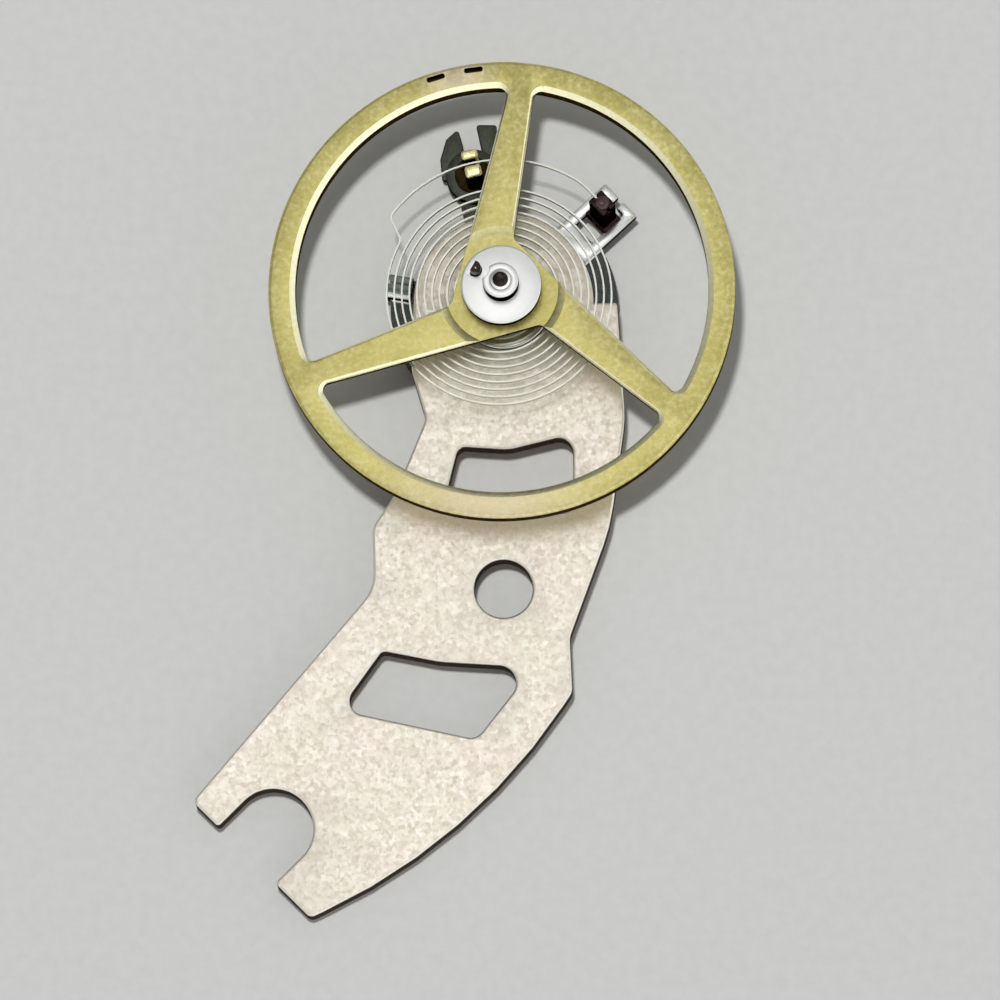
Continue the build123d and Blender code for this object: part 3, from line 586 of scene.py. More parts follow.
def makeWheel():
    w = wheel
    inner = w["radius"] - w["rimWidth"]
    piece = turnedPiece("wheel", [
        (w["bore"], w["web"]), (inner, w["web"]), (inner, w["low"]), (w["radius"] - w["edge"], w["low"]),
        (w["radius"], w["low"] + w["edge"]), (w["radius"], w["high"] - w["edge"]),
        (w["radius"] - w["edge"], w["high"]), (w["bore"], w["high"]), (w["bore"], w["web"])], steps=240)
    for number in range(w["spokes"]):
        combine(piece, windowCutter(number))
    for angle in w["slotAngles"]:
        combine(piece, block("slot", polar(w["slotDistance"], angle) + lift(w["high"]),
                             w["slotSize"], angle, w["slotCorner"]))
    softenEdges(piece, w["softness"])
    # the hub's recess is cut last, because softened edges would fold over its slope
    top = w["high"] + overrun
    slopeEnd = w["hubRadius"] + w["hubEdge"] * (top - w["hubFloor"]) / (w["high"] - w["hubFloor"])
    combine(piece, turnedPiece("recess", [
        (0, w["hubFloor"]), (w["hubRadius"], w["hubFloor"]), (slopeEnd, top), (0, top)], steps=240))
    settle(piece, "balance", ["balance_wheel"], "wheel_brass", satinBrassFinish, paintedHighlightCutBrassFinish,
           paintedShadeWallBrassFinish, shadedBrassFinish, paintedHighlightHubBrassFinish, smooth=19, flatter=100)
    cutEdge = inner + w["rimBevel"] + w["pastBevel"]
    # the window bevels take the pale cut brass: a painted highlight
    paintFaces(piece, 1, lambda place, up: w["wallUp"] < up < w["flatUp"]
               and place.xy.length < cutEdge)
    # the hub's chamfer is painted bright: a painted highlight
    paintFaces(piece, 4, lambda place, up: w["slopeUp"] < up < w["flatUp"]
               and w["hubRadius"] < place.xy.length < w["hubRadius"] + w["hubEdge"])
    # the walls are painted dark brown: painted shade
    paintFaces(piece, 2, lambda place, up: abs(up) < w["wallUp"]
               and place.xy.length > w["bore"] + w["edge"])
    # the slots' walls and floors are painted near-black: painted shade
    for angle in w["slotAngles"]:
        slot = polar(w["slotDistance"], angle).xy
        paintFaces(piece, 3, lambda place, up: w["web"] < place.z < w["high"] - w["softness"] / 2
                   and cutEdge < place.xy.length < w["radius"] - w["edge"]
                   and (place.xy - slot).length < w["slotSize"][1] / 2)


staff = {"section": [(0, 2.48), (0.036, 2.48), (0.05, 2.462), (0.05, 2.275), (0.058, 2.25), (0.1, 2.2),
                     (0.16, 2.155), (0.21, 2.115), (0.21, 1.24), (0.34, 1.24), (0.36, 1.225), (0.5, 1.225),
                     (0.5, 1.03), (0.66, 1.03), (0.66, 0.9), (0.3, 0.9), (0.3, 0.38), (0.22, 0.38),
                     (0.22, -0.08), (0.05, -0.2), (0.05, -0.425), (0.038, -0.44), (0, -0.44)],
         "darkRadius": 0.16, "darkAbove": 2.11}


def makeStaff():
    piece = turnedPiece("staff", staff["section"], steps=96)
    settle(piece, "balance", ["balance_staff"], "polished_steel", steelFinish, paintedDarkReflectionPivotFinish)
    # the pivot's tip is painted near-black: a painted dark reflection
    paintFaces(piece, 1, lambda place, up: place.z > staff["darkAbove"]
               and place.xy.length < staff["darkRadius"])


roller = {"radius": 0.826, "low": 1.46, "high": 1.68, "collar": 0.4, "foot": 1.24, "bore": 0.21,
          "edge": 0.03, "safetyRadius": 0.37, "safetyHigh": 2.1, "crescent": 0.17, "jewelAngle": 150.5,
          "jewelDistance": 0.606, "jewelRadius": 0.12, "jewelFlat": 0.05, "jewelHigh": 2.04,
          "jewelPlay": 0.012, "boreEdge": 0.02, "beadRadius": 0.16, "softness": 0.012, "wallUp": 0.3,
          "beadShape": ((0, 0), (1, 0), (0.94, 0.025), (0.72, 0.05), (0.4, 0.065), (0, 0.07))}


def jewelPrism(name, low, high, grow=0.0):
    # a round pin with a flat on its outer side
    r = roller
    prism = disc(name, r["jewelRadius"] + grow, low, high, steps=48)
    startEdit(prism)
    bpy.ops.mesh.bisect(plane_co=(r["jewelFlat"] + grow, 0, 0), plane_no=(1, 0, 0), use_fill=True,
                        clear_outer=True)
    endEdit()
    prism.rotation_euler.z = radians(r["jewelAngle"])
    prism.location = polar(r["jewelDistance"], r["jewelAngle"])
    bpy.ops.object.transform_apply(location=True, rotation=True)
    return prism


def makeRollers():
    r = roller
    table = turnedPiece("rollerTable", [
        (r["bore"], r["foot"]), (r["collar"], r["foot"]), (r["collar"], r["low"]), (r["radius"], r["low"]),
        (r["radius"], r["high"] - r["edge"]), (r["radius"] - r["edge"], r["high"]), (r["bore"], r["high"]),
        (r["bore"], r["foot"])])
    combine(table, jewelPrism("hole", r["low"] - overrun, r["high"] + overrun, r["jewelPlay"]))
    safety = turnedPiece("safetyRoller", [
        (r["bore"], r["high"]), (r["safetyRadius"], r["high"]),
        (r["safetyRadius"], r["safetyHigh"] - r["edge"]), (r["safetyRadius"] - r["edge"], r["safetyHigh"]),
        (r["bore"] + r["boreEdge"], r["safetyHigh"]), (r["bore"], r["safetyHigh"] - r["boreEdge"]),
        (r["bore"], r["high"])])
    notch = polar(r["safetyRadius"] + r["crescent"] / 2, r["jewelAngle"])
    combine(safety, disc("notch", r["crescent"], r["high"] - overrun, r["safetyHigh"] + overrun, notch.xy,
                         64))
    for piece, node in ((table, "roller_table"), (safety, "safety_roller")):
        softenEdges(piece, r["softness"])
        settle(piece, "balance", [node], "polished_steel", rollerFinish, shadedSteelFinish, smooth=20)
        # their walls are painted near-black: painted shade
        paintFaces(piece, 1, lambda place, up: abs(up) < r["wallUp"])
    jewel = jewelPrism("impulseJewel", r["low"], r["jewelHigh"])
    softenEdges(jewel, r["softness"])
    settle(jewel, "balance", ["impulse_jewel"], "ruby", deepRubyFinish)
    bead = turnedPiece("jewelBead", [(r["beadRadius"] * share, r["low"] - depth)
                                     for share, depth in r["beadShape"]],
                       polar(r["jewelDistance"], r["jewelAngle"]).xy, 48)
    settle(bead, "balance", ["jewel_shellac"], "shellac", resinFinish, smooth=60)


collet = {"radius": 0.46, "bore": 0.3, "low": 0.4, "high": 0.7, "slit": 0.08, "slitAngle": 260,
          "edge": 0.03, "softness": 0.01}


def makeCollet():
    c = collet
    piece = turnedPiece("collet", [
        (c["bore"], c["low"]), (c["radius"] - c["edge"], c["low"]), (c["radius"], c["low"] + c["edge"]),
        (c["radius"], c["high"] - c["edge"]), (c["radius"] - c["edge"], c["high"]), (c["bore"], c["high"]),
        (c["bore"], c["low"])], steps=96)
    cutSlit(piece, c, c["bore"], c["radius"])
    softenEdges(piece, c["softness"])
    settle(piece, "balance", ["hairspring_collet"], "yellow_brass", jawBrassFinish)


# The hairspring's route is the CAD's: straight out of the collet, half turns round two centres, a dog-leg,
# the arc that runs between the jaws, and a bend into the stud
spring = {"thickness": 0.035, "height": 0.14, "level": 0.55, "pitch": 0.156, "halfTurns": 22,
          "rootRadius": 0.38, "colletRadius": 0.46, "innerBend": 0.08, "dogLegAngle": 153,
          "dogLegTurn": 52, "dogLegBend": 0.2, "arcRise": 0.4687, "endBend": 16, "endStraight": 0.44,
          "studAngle": 43, "step": 4}


def springRoute():
    s = spring
    inner = s["innerBend"] + hypot(s["colletRadius"] + s["height"], s["innerBend"])
    coilRadius = inner + s["halfTurns"] * s["pitch"] / 2
    arcRadius = coilRadius + s["arcRise"]
    startAngle = s["dogLegAngle"] + 180 * s["halfTurns"]
    lead = degrees(atan2(s["innerBend"], s["colletRadius"] + s["height"]))
    points = [polar(s["rootRadius"], startAngle + lead)]

    def arc(centre, radius, start, turn):
        steps = max(2, round(abs(turn) / s["step"]))
        points.extend([*arcPoints(centre, radius, start, turn, steps), centre + polar(radius, start + turn)])
    arc(polar(inner - s["innerBend"], startAngle), s["innerBend"], startAngle + lead + 90, -90 - lead)
    for half in range(s["halfTurns"]):
        arc(polar(half % 2 * s["pitch"] / 2, startAngle), inner + half * s["pitch"] / 2,
            startAngle - 180 * half, -180)
    coilEnd = len(points)
    rising = s["dogLegAngle"] - 90 + s["dogLegTurn"]
    firstBend = polar(coilRadius + s["dogLegBend"], s["dogLegAngle"])
    arc(firstBend, s["dogLegBend"], s["dogLegAngle"] + 180, s["dogLegTurn"])
    bendStart = points[-1] + polar(s["dogLegBend"], rising - 90)
    along = bendStart.dot(polar(1, rising))
    aside = bendStart.length ** 2 - along ** 2
    rise = sqrt((arcRadius - s["dogLegBend"]) ** 2 - aside) - along
    secondBend = bendStart + polar(rise, rising)
    arcStart = degrees(atan2(secondBend.y, secondBend.x))
    arc(secondBend, s["dogLegBend"], rising + 90, arcStart - rising - 90)
    arc(Vector(), arcRadius, arcStart, s["studAngle"] + s["endBend"] - arcStart)
    bendRadius = arcRadius - s["endStraight"] / sin(radians(s["endBend"]))
    endBend = polar(arcRadius - bendRadius, s["studAngle"] + s["endBend"])
    arc(endBend, bendRadius, s["studAngle"] + s["endBend"], -s["endBend"])
    s["studDistance"] = points[-1].dot(polar(1, s["studAngle"]))
    points.append(points[-1] + polar(s["endStraight"], s["studAngle"] - 90))
    route = [p for i, p in enumerate(points) if i == 0 or (p - points[i - 1]).length > samePoint]
    return route, len(route) - (len(points) - coilEnd)


def makeHairspring():
    s = spring
    route, coilEnd = springRoute()
    piece = curvePiece("hairspringStrip", [route], s["level"], "NONE", False, extrude=s["height"] / 2)
    useModifier(piece, "SOLIDIFY", thickness=s["thickness"], offset=0)
    cleanMesh(piece)
    settle(piece, None, ["hairspring"], "spring_alloy", springFinish)

    # the coils turn with the collet at their inner end and stand still from the dog-leg on
    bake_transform(piece, "balance", "stud_carrier", start=route[0] * mm, end=route[-1] * mm)
    lengths = [0]
    tree = KDTree(len(route))
    for i, point in enumerate(route):
        tree.insert(point, i)
        if i:
            lengths.append(lengths[-1] + (point - route[i - 1]).length)
    tree.balance()
    coilLength = lengths[coilEnd] - s["height"]
    easeBlend(piece, lambda place: (lengths[tree.find((*place, 0))[1]] - s["height"]) / coilLength)


carrier = {"low": -0.76, "high": -0.56, "ring": 1.45, "bore": 0.97, "plate": 2.36, "plateStart": 163,
           "plateSweep": 239, "plateSteps": 80, "slit": 0.12, "slitAngle": 110, "edge": 0.03,
           "forkWidth": 0.96, "forkStart": 1.8, "forkRise": 0.012, "gap": 0.52, "rootGap": 0.32,
           "hookGap": 0.08, "tip": 0.2, "tipSlit": 0.14, "lugAngle": 170, "lugStart": 1.93,
           "lugSize": (0.52, 0.48), "lugTop": -0.25, "lugChamfer": 0.09, "lugGroove": (0.16, 0.08),
           "lugPaint": 0.1, "wallUp": 0.3, "flatUp": 0.9}
stud = {"depth": 0.46, "width": 0.6, "waist": 0.52, "shoulder": 0.06, "head": (0.36, 0.44), "top": 0.7,
        "foot": -0.82, "slot": 0.059, "slotLow": 0.48, "softness": 0.03, "beadRadius": 0.15, "beadRise": 0.07,
        "beadLow": 0.62, "beadStep": 15}


def makeCarrier():
    c = carrier
    angle = spring["studAngle"]
    gapStart = spring["studDistance"] - stud["depth"] / 2 - c["rootGap"]
    gapEnd = spring["studDistance"] + stud["depth"] / 2 + c["hookGap"]
    plateEnd = polar(c["plate"], c["plateStart"] + c["plateSweep"])
    arc = arcPoints(Vector(), c["plate"], c["plateStart"], c["plateSweep"], c["plateSteps"])
    piece = flatPlate("studCarrier", [[Vector(), *arc, plateEnd]], c["low"], c["high"])
    join(piece, disc("ring", c["ring"], c["low"], c["high"]))
    join(piece, radialBlock("fork", c["forkStart"], gapEnd + c["tip"], c["forkWidth"], c["low"],
                            c["high"] + c["forkRise"], angle))
    combine(piece, radialBlock("gap", gapStart, gapEnd, c["gap"], *through(c), angle))
    combine(piece, radialBlock("tip", gapEnd - overrun, gapEnd + c["tip"] + overrun, c["tipSlit"],
                               *through(c), angle))
    combine(piece, disc("bore", c["bore"], *through(c)))
    cutSlit(piece, c, c["bore"], c["ring"])
    length, width = c["lugSize"]
    lug = radialBlock("lug", c["lugStart"], c["lugStart"] + length, width, c["low"], c["lugTop"],
                      c["lugAngle"])
    startEdit(lug, "EDGE")
    south = min(vertex.co.y for vertex in lug.data.vertices)
    pick(lug, "EDGE", lambda edge: all(v.co.z > c["lugTop"] - overlap and v.co.y < south + width / 2
                                       for v in edge.verts))
    bpy.ops.mesh.bevel(offset=c["lugChamfer"], segments=1)
    endEdit()
    grooveWidth, grooveDepth = c["lugGroove"]
    combine(lug, radialBlock("groove", c["lugStart"] - overrun, c["lugStart"] + length + overrun, grooveWidth,
                             c["lugTop"] - grooveDepth, c["lugTop"] + overrun, c["lugAngle"]))
    join(piece, lug)
    softenEdges(piece, c["edge"])
    settle(piece, "stud_carrier", ["stud_carrier"], "polished_steel", paintedHighlightSatinFinish, paintedDarkReflectionRingFinish, lugFinish,
           shadedSteelFinish)
    # the fork's top and the lug's cut corner keep the near-white steel, a painted highlight; the lug's top is
    # grey;
    # the ring is painted dark, a painted dark reflection, and its walls darkest, painted shade
    paintFaces(piece, 1, lambda place, up: place.z < c["high"] + c["forkRise"] / 4)
    paintFaces(piece, 2, lambda place, up: place.z > c["high"] + c["lugPaint"] and up > c["flatUp"])
    paintFaces(piece, 3, lambda place, up: abs(up) < c["wallUp"])


def makeStud():
    s, c = stud, carrier
    distance, angle = spring["studDistance"], spring["studAngle"]
    near, far = distance - s["depth"] / 2, distance + s["depth"] / 2
    headDepth, headWidth = s["head"]
    piece = radialBlock("stud", near, far, s["width"], c["high"], c["high"] + s["shoulder"], angle)
    join(piece, radialBlock("head", distance - headDepth / 2, distance + headDepth / 2, headWidth,
                            c["high"], s["top"], angle))
    join(piece, radialBlock("waist", near, far, s["waist"], c["low"] - overlap, c["high"] + overlap, angle))
    join(piece, radialBlock("foot", near, far, s["width"], s["foot"], c["low"], angle))
    combine(piece, radialBlock("slot", distance - s["slot"] / 2, distance + s["slot"] / 2,
                               s["width"] + overrun, s["slotLow"], s["top"] + overrun, angle))
    softenEdges(piece, s["softness"], 3)
    settle(piece, "stud_carrier", ["hairspring_stud"], "dark_steel", studFinish)
    bead = turnedPiece("studBead", [(0, s["top"] - overlap), (s["beadRadius"], s["top"] - overlap)] + [
        (s["beadRadius"] * cos(radians(turn)), s["top"] + s["beadRise"] * sin(radians(turn)))
        for turn in range(0, 91, s["beadStep"])], polar(distance, angle).xy, 48)
    join(bead, radialBlock("filling", distance - s["slot"] / 2, distance + s["slot"] / 2,
                           2 * s["beadRadius"], s["beadLow"], s["top"], angle))
    settle(bead, "stud_carrier", ["stud_shellac"], "shellac", resinFinish, smooth=60)


regulator = {"low": -0.97, "high": -0.77, "ring": 1.42, "bore": 0.97, "angle": 103, "arm": 0.78,
             "armStart": 0.5, "slit": 0.12, "slitAngle": 330, "eyeDistance": 2.87, "eye": 0.56,
             "eyeTop": -0.52, "keyBore": 0.34, "eyeSlit": 0.14, "eyeSlitShift": 0.1, "tail": 1.05,
             "corner": 0.06, "cornerStep": 12, "flatUp": 0.9,
             "leftProng": ((-0.12, 0.112), (0.104, 0.616), (0.52, 0.56), (0.89, 0.355),
                           (1.05, 0.075), (0.7, 0.06), (0.291, 0.183)),
             "rightProng": ((-0.12, -0.112), (0.235, -0.274), (1.05, -0.288), (0.95, -0.687),
                            (0.362, -0.568), (0, -0.437)),
             "prongRise": 0.004, "softness": 0.03}


def makeRegulator():
    r = regulator
    eye = polar(r["eyeDistance"], r["angle"])
    piece = disc("regulatorIndex", r["ring"], r["low"], r["high"])
    join(piece, radialBlock("arm", r["armStart"], r["eyeDistance"], r["arm"], r["low"], r["high"],
                            r["angle"]))
    join(piece, disc("eye", r["eye"], r["low"], r["eyeTop"], eye.xy, 96))
    combine(piece, disc("bore", r["bore"], *through(r)))
    cutSlit(piece, r, r["bore"], r["ring"])
    softenEdges(piece, r["softness"])
    outwards, sideways = polar(1, r["angle"]), polar(1, r["angle"] + 90)
    for prong in (r["leftProng"], r["rightProng"]):
        corners = [eye + outwards * out * r["tail"] + sideways * aside * r["tail"] for out, aside in prong]
        outline = roundedOutline([(p.x, p.y, r["corner"]) for p in corners], r["cornerStep"])
        join(piece, flatPlate("prong", [outline], r["low"] + r["prongRise"], r["high"], r["softness"]))
    combine(piece, disc("keyBore", r["keyBore"], r["low"] - overrun, r["eyeTop"] + overrun, eye.xy, 64))
    slitMiddle = eye + outwards * r["eye"] / 2 - sideways * r["eyeSlitShift"]
    combine(piece, block("eyeSlit", slitMiddle + lift((r["low"] + r["eyeTop"]) / 2),
                         (r["eye"], r["eyeSlit"], 2 * r["eye"]), r["angle"]))
    settle(piece, "regulator", ["regulator_index"], "dark_steel", prongFinish, shadedSteelFinish)
    # the walls and rounded edges are painted near-black: painted shade
    paintFaces(piece, 1, lambda place, up: abs(up) < r["flatUp"])


key = {"stem": 0.32, "collar": 0.38, "collarHigh": -0.43, "collarLow": -0.51, "stemLow": -0.98,
       "head": 0.42, "headLow": -1.02, "slot": (0.1, 0.02), "jawTop": 0.75, "gap": 0.13,
       "jawLength": 0.34, "outerJaw": 0.2, "innerJaw": 0.26, "jawCorner": 0.07, "jawSoftness": 0.05,
       "web": 0.1, "webTop": 0.36, "headEdge": 0.015, "softness": 0.015, "undersideUp": -0.5}


def makeKey():
    k, r = key, regulator
    eye = polar(r["eyeDistance"], r["angle"])
    piece = turnedPiece("curbKey", [
        (0, k["headLow"]), (k["head"] - k["headEdge"], k["headLow"]),
        (k["head"], k["headLow"] + k["headEdge"]), (k["head"], k["stemLow"]), (k["stem"], k["stemLow"]),
        (k["stem"], k["collarLow"]), (k["collar"], k["collarLow"]), (k["collar"], k["collarHigh"]),
        (0, k["collarHigh"])], eye.xy, 96)
    slotWidth, slotDepth = k["slot"]
    combine(piece, block("slot", eye + lift(k["headLow"]),
                         (slotWidth, 3 * k["head"], 2 * slotDepth), r["angle"]))
    for start, width in ((k["gap"] / 2, k["outerJaw"]), (-k["gap"] / 2 - k["innerJaw"], k["innerJaw"])):
        jaw = radialBlock("jaw", r["eyeDistance"] + start, r["eyeDistance"] + start + width,
                          k["jawLength"], k["collarHigh"] - overlap, k["jawTop"], r["angle"], k["jawCorner"])
        softenEdges(jaw, k["jawSoftness"], 4, 60)
        join(piece, jaw)
    join(piece, block("web", eye + polar((k["web"] - k["jawLength"]) / 2, r["angle"] + 90)
                      + lift((k["collarHigh"] + k["webTop"]) / 2),
                      (k["gap"] + overrun, k["web"], k["webTop"] - k["collarHigh"]), r["angle"]))
    softenEdges(piece, k["softness"], 2, 50)
    settle(piece, "curb_key", ["curb_key"], "yellow_brass", jawBrassFinish, shadedBrassFinish)
    # the collar, the web and the jaws' lower parts are painted near-black brass, painted shade; the jaw tops
    # keep the bright brass
    paintFaces(piece, 1, lambda place, up: place.z < k["webTop"] and up > k["undersideUp"])


bridge = {"low": -0.55, "high": 0, "edge": 0.06, "head": 1.86, "reach": 12.85,
          "outline": ((-0.148, -0.113, 0.047), (-0.1245, -0.191, 0.031), (-0.177, -0.319, 0.1),
                      (-0.21, -0.367, 0.035), (-0.207, -0.467, 0.07), (-0.4965, -0.811, 0.0125),
                      (-0.3074, -1, 0.0125), (-0.048, -0.8785, 0.93), (0.11, -0.638, 0.023),
                      (0.106, -0.549, 0.039), (0.171, -0.37, 0.31), (0.1955, -0.195, 0.195),
                      (0.1825, -0.0023, 0.006)),
          "upperWindow": ((-0.0724, -0.2374, 0.0156), (0.008, -0.243, 0.08), (0.1113, -0.218, 0.0234),
                          (0.1113, -0.3463, 0.0156), (-0.0996, -0.3463, 0.0156)),
          "lowerWindow": ((-0.194, -0.5696, 0.0117), (-0.102, -0.588, 0.15), (0.0467, -0.5977, 0.028),
                          (-0.0436, -0.7128, 0.0233), (-0.2615, -0.6646, 0.0233)),
          "screwHole": (0, -0.4693, 0), "screwRadius": 0.6, "slot": (-0.3673, -0.856), "slotRadius": 0.826,
          "slotAngle": 225, "mouthRadius": 0.09, "slotAfter": 6, "blockHole": 1.0,
          "headSteps": 60, "wallUp": 0.35, "flatUp": 0.95}


def makeBridge():
    b = bridge
    reach = b["reach"]
    corners = [(x * reach, y * reach, r * reach) for x, y, r in b["outline"]]
    centre = Vector(b["slot"]) * reach
    along, across = polar(1, b["slotAngle"]).xy, polar(1, b["slotAngle"] - 90).xy * b["slotRadius"]
    mouth = along * (Vector(corners[b["slotAfter"] - 1][:2]) - centre).dot(along)
    back = -along * b["slotRadius"]
    slot = [(*(centre + across + mouth), b["mouthRadius"]), (*(centre + across + back), b["slotRadius"]),
            (*(centre - across + back), b["slotRadius"]), (*(centre - across + mouth), b["mouthRadius"])]
    corners[b["slotAfter"]:b["slotAfter"]] = slot
    earY = corners[-1][1]
    meeting = degrees(atan2(earY, sqrt(b["head"] ** 2 - earY ** 2)))
    outline = roundedOutline([(-b["head"], 0, 0), *corners, (b["head"], earY, 0)])
    head = arcPoints(Vector(), b["head"], meeting, 180 - meeting, b["headSteps"])
    loops = [outline[:-1] + head, arcPoints(Vector(), b["blockHole"], 0, 360, 128),
             arcPoints(Vector(b["screwHole"]) * reach, b["screwRadius"], 0, 360, 96)]
    for window in (b["upperWindow"], b["lowerWindow"]):
        loops.append(roundedOutline([(x * reach, y * reach, r * reach) for x, y, r in window]))
    piece = flatPlate("bridge", loops, b["low"], b["high"], b["edge"], 3)
    settle(piece, "bridge", ["balance_bridge"], "frosted_nickel", nickelFinish, paintedShadeWallNickelFinish,
           edgeNickelFinish, smooth=40, flatter=100)
    # the upper rounding of the edges takes the rolled edge, the walls are painted dark, painted shade, and
    # the underside keeps the nickel
    for index, limit in ((2, b["flatUp"]), (1, b["wallUp"]), (0, -b["wallUp"])):
        paintFaces(piece, index, lambda place, up: up < limit)


shock = {"edge": 0.012, "settingEdge": 0.01, "throat": 0.15, "seat": 0.4, "flange": 0.58,
         "flangeHeight": 0.12, "holeCup": ((0.2, 0), (0.15, 0.03), (0.085, 0.055), (0.062, 0.075)),
         "capRim": ((0, 0.05), (0.03, 0.02)), "domeShare": 0.7, "domeRise": 0.004,
         "block": [(0.3, 0.05), (0.97, 0.05), (1.0, 0.02), (1.0, -0.55), (0.95, -0.55), (0.95, -0.98),
                   (1.02, -0.98), (1.02, -1.045), (1.005, -1.06), (0.74, -1.06), (0.72, -1.04),
                   (0.72, -0.73), (0.8, -0.73), (0.8, -0.64), (0.66, -0.64), (0.66, -0.5), (0.6, -0.5),
                   (0.42, -0.2), (0.3, -0.2), (0.3, 0.05)],
         "spring": {"radius": 0.78, "band": 0.15, "low": -0.69, "high": -0.63, "slit": 0.1,
                    "slitAngle": 270, "tongues": 3, "tongueWidth": 0.12, "tongueTip": 0.16,
                    "tongueCorner": 0.04, "stillEnd": 0.26}}


def makeShockSetting():
    s = shock
    piece = turnedPiece("shockBlock", s["block"])
    softenEdges(piece, s["edge"])
    settle(piece, "bridge", ["shock_block"], "polished_steel", steelFinish)
    (low, high), (capLow, capHigh), (holeLow, holeHigh) = (
        [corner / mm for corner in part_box(node)] for node in ("jewel_setting", "cap_jewel", "hole_jewel"))
    capRadius, holeRadius, flangeTop = capHigh.x, holeHigh.x, low.z + s["flangeHeight"]
    piece = turnedPiece("jewelSetting", [
        (s["throat"], high.z), (s["seat"], high.z), (s["flange"], flangeTop), (high.x, flangeTop),
        (high.x, low.z), (capRadius, low.z), (capRadius, capHigh.z), (holeRadius, capHigh.z),
        (holeRadius, holeHigh.z), (s["throat"], holeHigh.z), (s["throat"], high.z)])
    softenEdges(piece, s["settingEdge"])
    settle(piece, "jewel_setting", ["jewel_setting"], "yellow_brass", jawBrassFinish)
    pivotHole = (s["holeCup"][-1][0], holeLow.z)
    hole = turnedPiece("holeJewel", [
        pivotHole, (holeRadius, holeLow.z), (holeRadius, holeHigh.z),
        *[(radius, holeHigh.z - depth) for radius, depth in s["holeCup"]], pivotHole], steps=96)
    settle(hole, "jewel_setting", ["hole_jewel"], "ruby", rubyFinish)
    cap = turnedPiece("capJewel", [
        (0, capHigh.z), (capRadius, capHigh.z),
        *[(capRadius - inset, capLow.z + rise) for inset, rise in s["capRim"]],
        (capRadius * s["domeShare"], capLow.z + s["domeRise"]), (0, capLow.z)], steps=96)
    settle(cap, "jewel_setting", ["cap_jewel"], "ruby", rubyFinish)


def makeShockSpring():
    s = shock["spring"]
    outer, inner = s["radius"], s["radius"] - s["band"]
    piece = flatPlate("shockSpring", [arcPoints(Vector(), radius, 0, 360, 128) for radius in (outer, inner)],
                      s["low"], s["high"])
    for number in range(s["tongues"]):
        angle = s["slitAngle"] + 180 + number * 360 / s["tongues"]
        join(piece, radialBlock("tongue", s["tongueTip"], inner + s["band"] / 2, s["tongueWidth"],
                                s["low"], s["high"], angle, s["tongueCorner"]))
    cutSlit(piece, s, inner, outer)
    softenEdges(piece, shock["edge"])
    settle(piece, None, ["shock_spring"], "spring_alloy", springFinish)
    # the tongues give with the setting and the band stays in its groove
    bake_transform(piece, "bridge", "jewel_setting", start=(outer * mm, 0, 0), end=(0, 0, 0))
    easeBlend(piece, lambda place: (inner - place.length) / (inner - s["stillEnd"]))


makeWheel()
makeStaff()
makeRollers()
makeCollet()
makeHairspring()
makeCarrier()
makeStud()
makeRegulator()
makeKey()
makeBridge()
makeShockSetting()
makeShockSpring()

print("setting the bench, the lights and the camera")
bench = {"size": 0.6, "colour": (0.55, 0.55, 0.535), "speck": (0.525, 0.525, 0.51)}
lipLow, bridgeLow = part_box("shock_block")[0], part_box("balance_bridge")[0]
tilt = atan2(bridgeLow.z - lipLow.z, lipLow.y - bridgeLow.y)  # it rests on the setting's lip and on the fork


def makeBench():
    bpy.ops.mesh.primitive_plane_add(size=bench["size"], location=(0, 0, 0))
    plane = bpy.context.object
    plane.name = "bench"
    plane.rotation_euler.x = -tilt
    plane.location = (0, lipLow.y, lipLow.z)
    material, shader = newFinish("benchTop", roughness=0.85)
    place = fromObject(material)
    fleck = noise(material, place, 4.0, detail=5)
    colour = ramp(material, fleck, (0.35, bench["speck"]), (0.65, bench["colour"]))
    setInputs(material, shader, {"Base Color": colour, "Normal": bump(material, fleck, 0.004)})
    plane.data.materials.append(material)


# each lamp's place and size, the share of light that it gives to a level surface, and whether metal shows it:
# the small lamp only draws the shadows
lampAim = (0, -0.004, 0)
lamps = {"key": ((-0.008, 0.018, 0.17), 0.054, 0.055, True),
         "shadowLamp": ((-0.007, 0.005, 0.17), 0.012, 0.76, False)}
# the room's brightness straight above, and round the horizon on its dim side and on the side of its window,
# the heights between which one turns into the other, and the share of it that lights matt surfaces
room = {"above": 0.57, "dimSide": 0.28, "window": 1.3, "towards": (0.6, -0.8, 0), "overhead": (0.7, 0.95),
        "tint": (0.98, 0.99, 1.0), "onMatt": 0.42}


def addLamp(name, place, size, share, shines):
    aim = Vector(lampAim)
    data = bpy.data.lights.new(name, "AREA")
    data.shape = "DISK"
    data.size = size
    data.energy = share * (pi * (Vector(place) - aim).length) ** 2
    lamp = newObject(name, data)
    lamp.location = place
    lamp.rotation_euler = (aim - Vector(place)).to_track_quat("-Z", "Y").to_euler()
    lamp.visible_glossy = shines


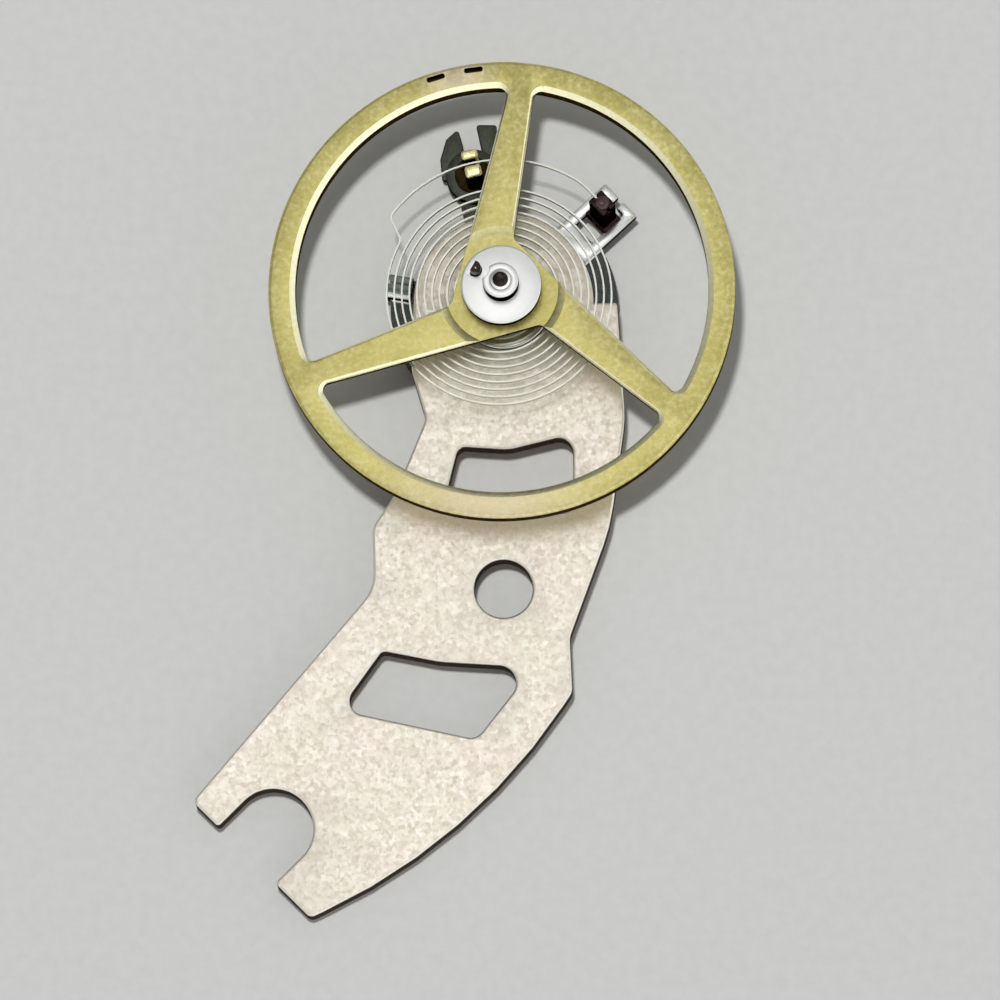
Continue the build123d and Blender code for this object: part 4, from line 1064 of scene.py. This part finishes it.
def makeWorld():
    world = bpy.data.worlds.new("studio")
    world.use_nodes = True
    bpy.context.scene.world = world
    background = world.node_tree.nodes["Background"]
    place = addNode(world, "TexCoord").outputs["Generated"]
    height = addNode(world, "SeparateXYZ", {"Vector": place}).outputs["Z"]
    facing = addNode(world, "VectorMath", {0: place, 1: room["towards"]},
                     operation="DOT_PRODUCT").outputs["Value"]
    around = between(world, facing, room["dimSide"], room["window"], -1, 1)
    strength = between(world, height, around, room["above"], *room["overhead"])
    isMatt = addNode(world, "LightPath").outputs["Is Diffuse Ray"]
    share = between(world, isMatt, 1, room["onMatt"], 0, 1)
    setInputs(world, background, {"Color": (*room["tint"], 1),
                                  "Strength": calculated(world, "MULTIPLY", strength, share)})


# In the photo a millimetre is 48.4 pixels across, and height shows as 9.3 pixels up and 1.5 left
view = {"pixelsPerMm": 48.4, "upPerHeight": 9.3, "leftPerHeight": 1.5, "imageSize": 1000,
        "axisPixel": (503.5, 301.5), "distance": 0.2, "sensor": 36, "clip": (0.01, 10)}


def makeCamera():
    v = view
    right = Vector((1, 0, -v["leftPerHeight"] / v["pixelsPerMm"])).normalized()
    tiltShare = v["upPerHeight"] / v["pixelsPerMm"]
    up = Vector((0, sqrt(1 - tiltShare ** 2), tiltShare))
    up = (up - right * up.dot(right)).normalized()
    back = right.cross(up)
    half = v["imageSize"] / 2
    x = (half - v["axisPixel"][0]) / v["pixelsPerMm"] * mm
    y = (v["axisPixel"][1] - half) / v["pixelsPerMm"] * mm
    aim = right * x + up * y
    data = bpy.data.cameras.new("camera")
    data.sensor_width = v["sensor"]
    data.lens = v["sensor"] * v["distance"] / (v["imageSize"] / v["pixelsPerMm"] * mm)
    data.clip_start, data.clip_end = v["clip"]
    camera = newObject("camera", data)
    camera.matrix_world = Matrix.Translation(aim + back * v["distance"]) @ Matrix(
        (right, up, back)).transposed().to_4x4()
    bpy.context.scene.camera = camera


makeBench()
for name, lamp in lamps.items():
    addLamp(name, *lamp)
makeWorld()
makeCamera()
bpy.context.scene.view_settings.view_transform = "Standard"
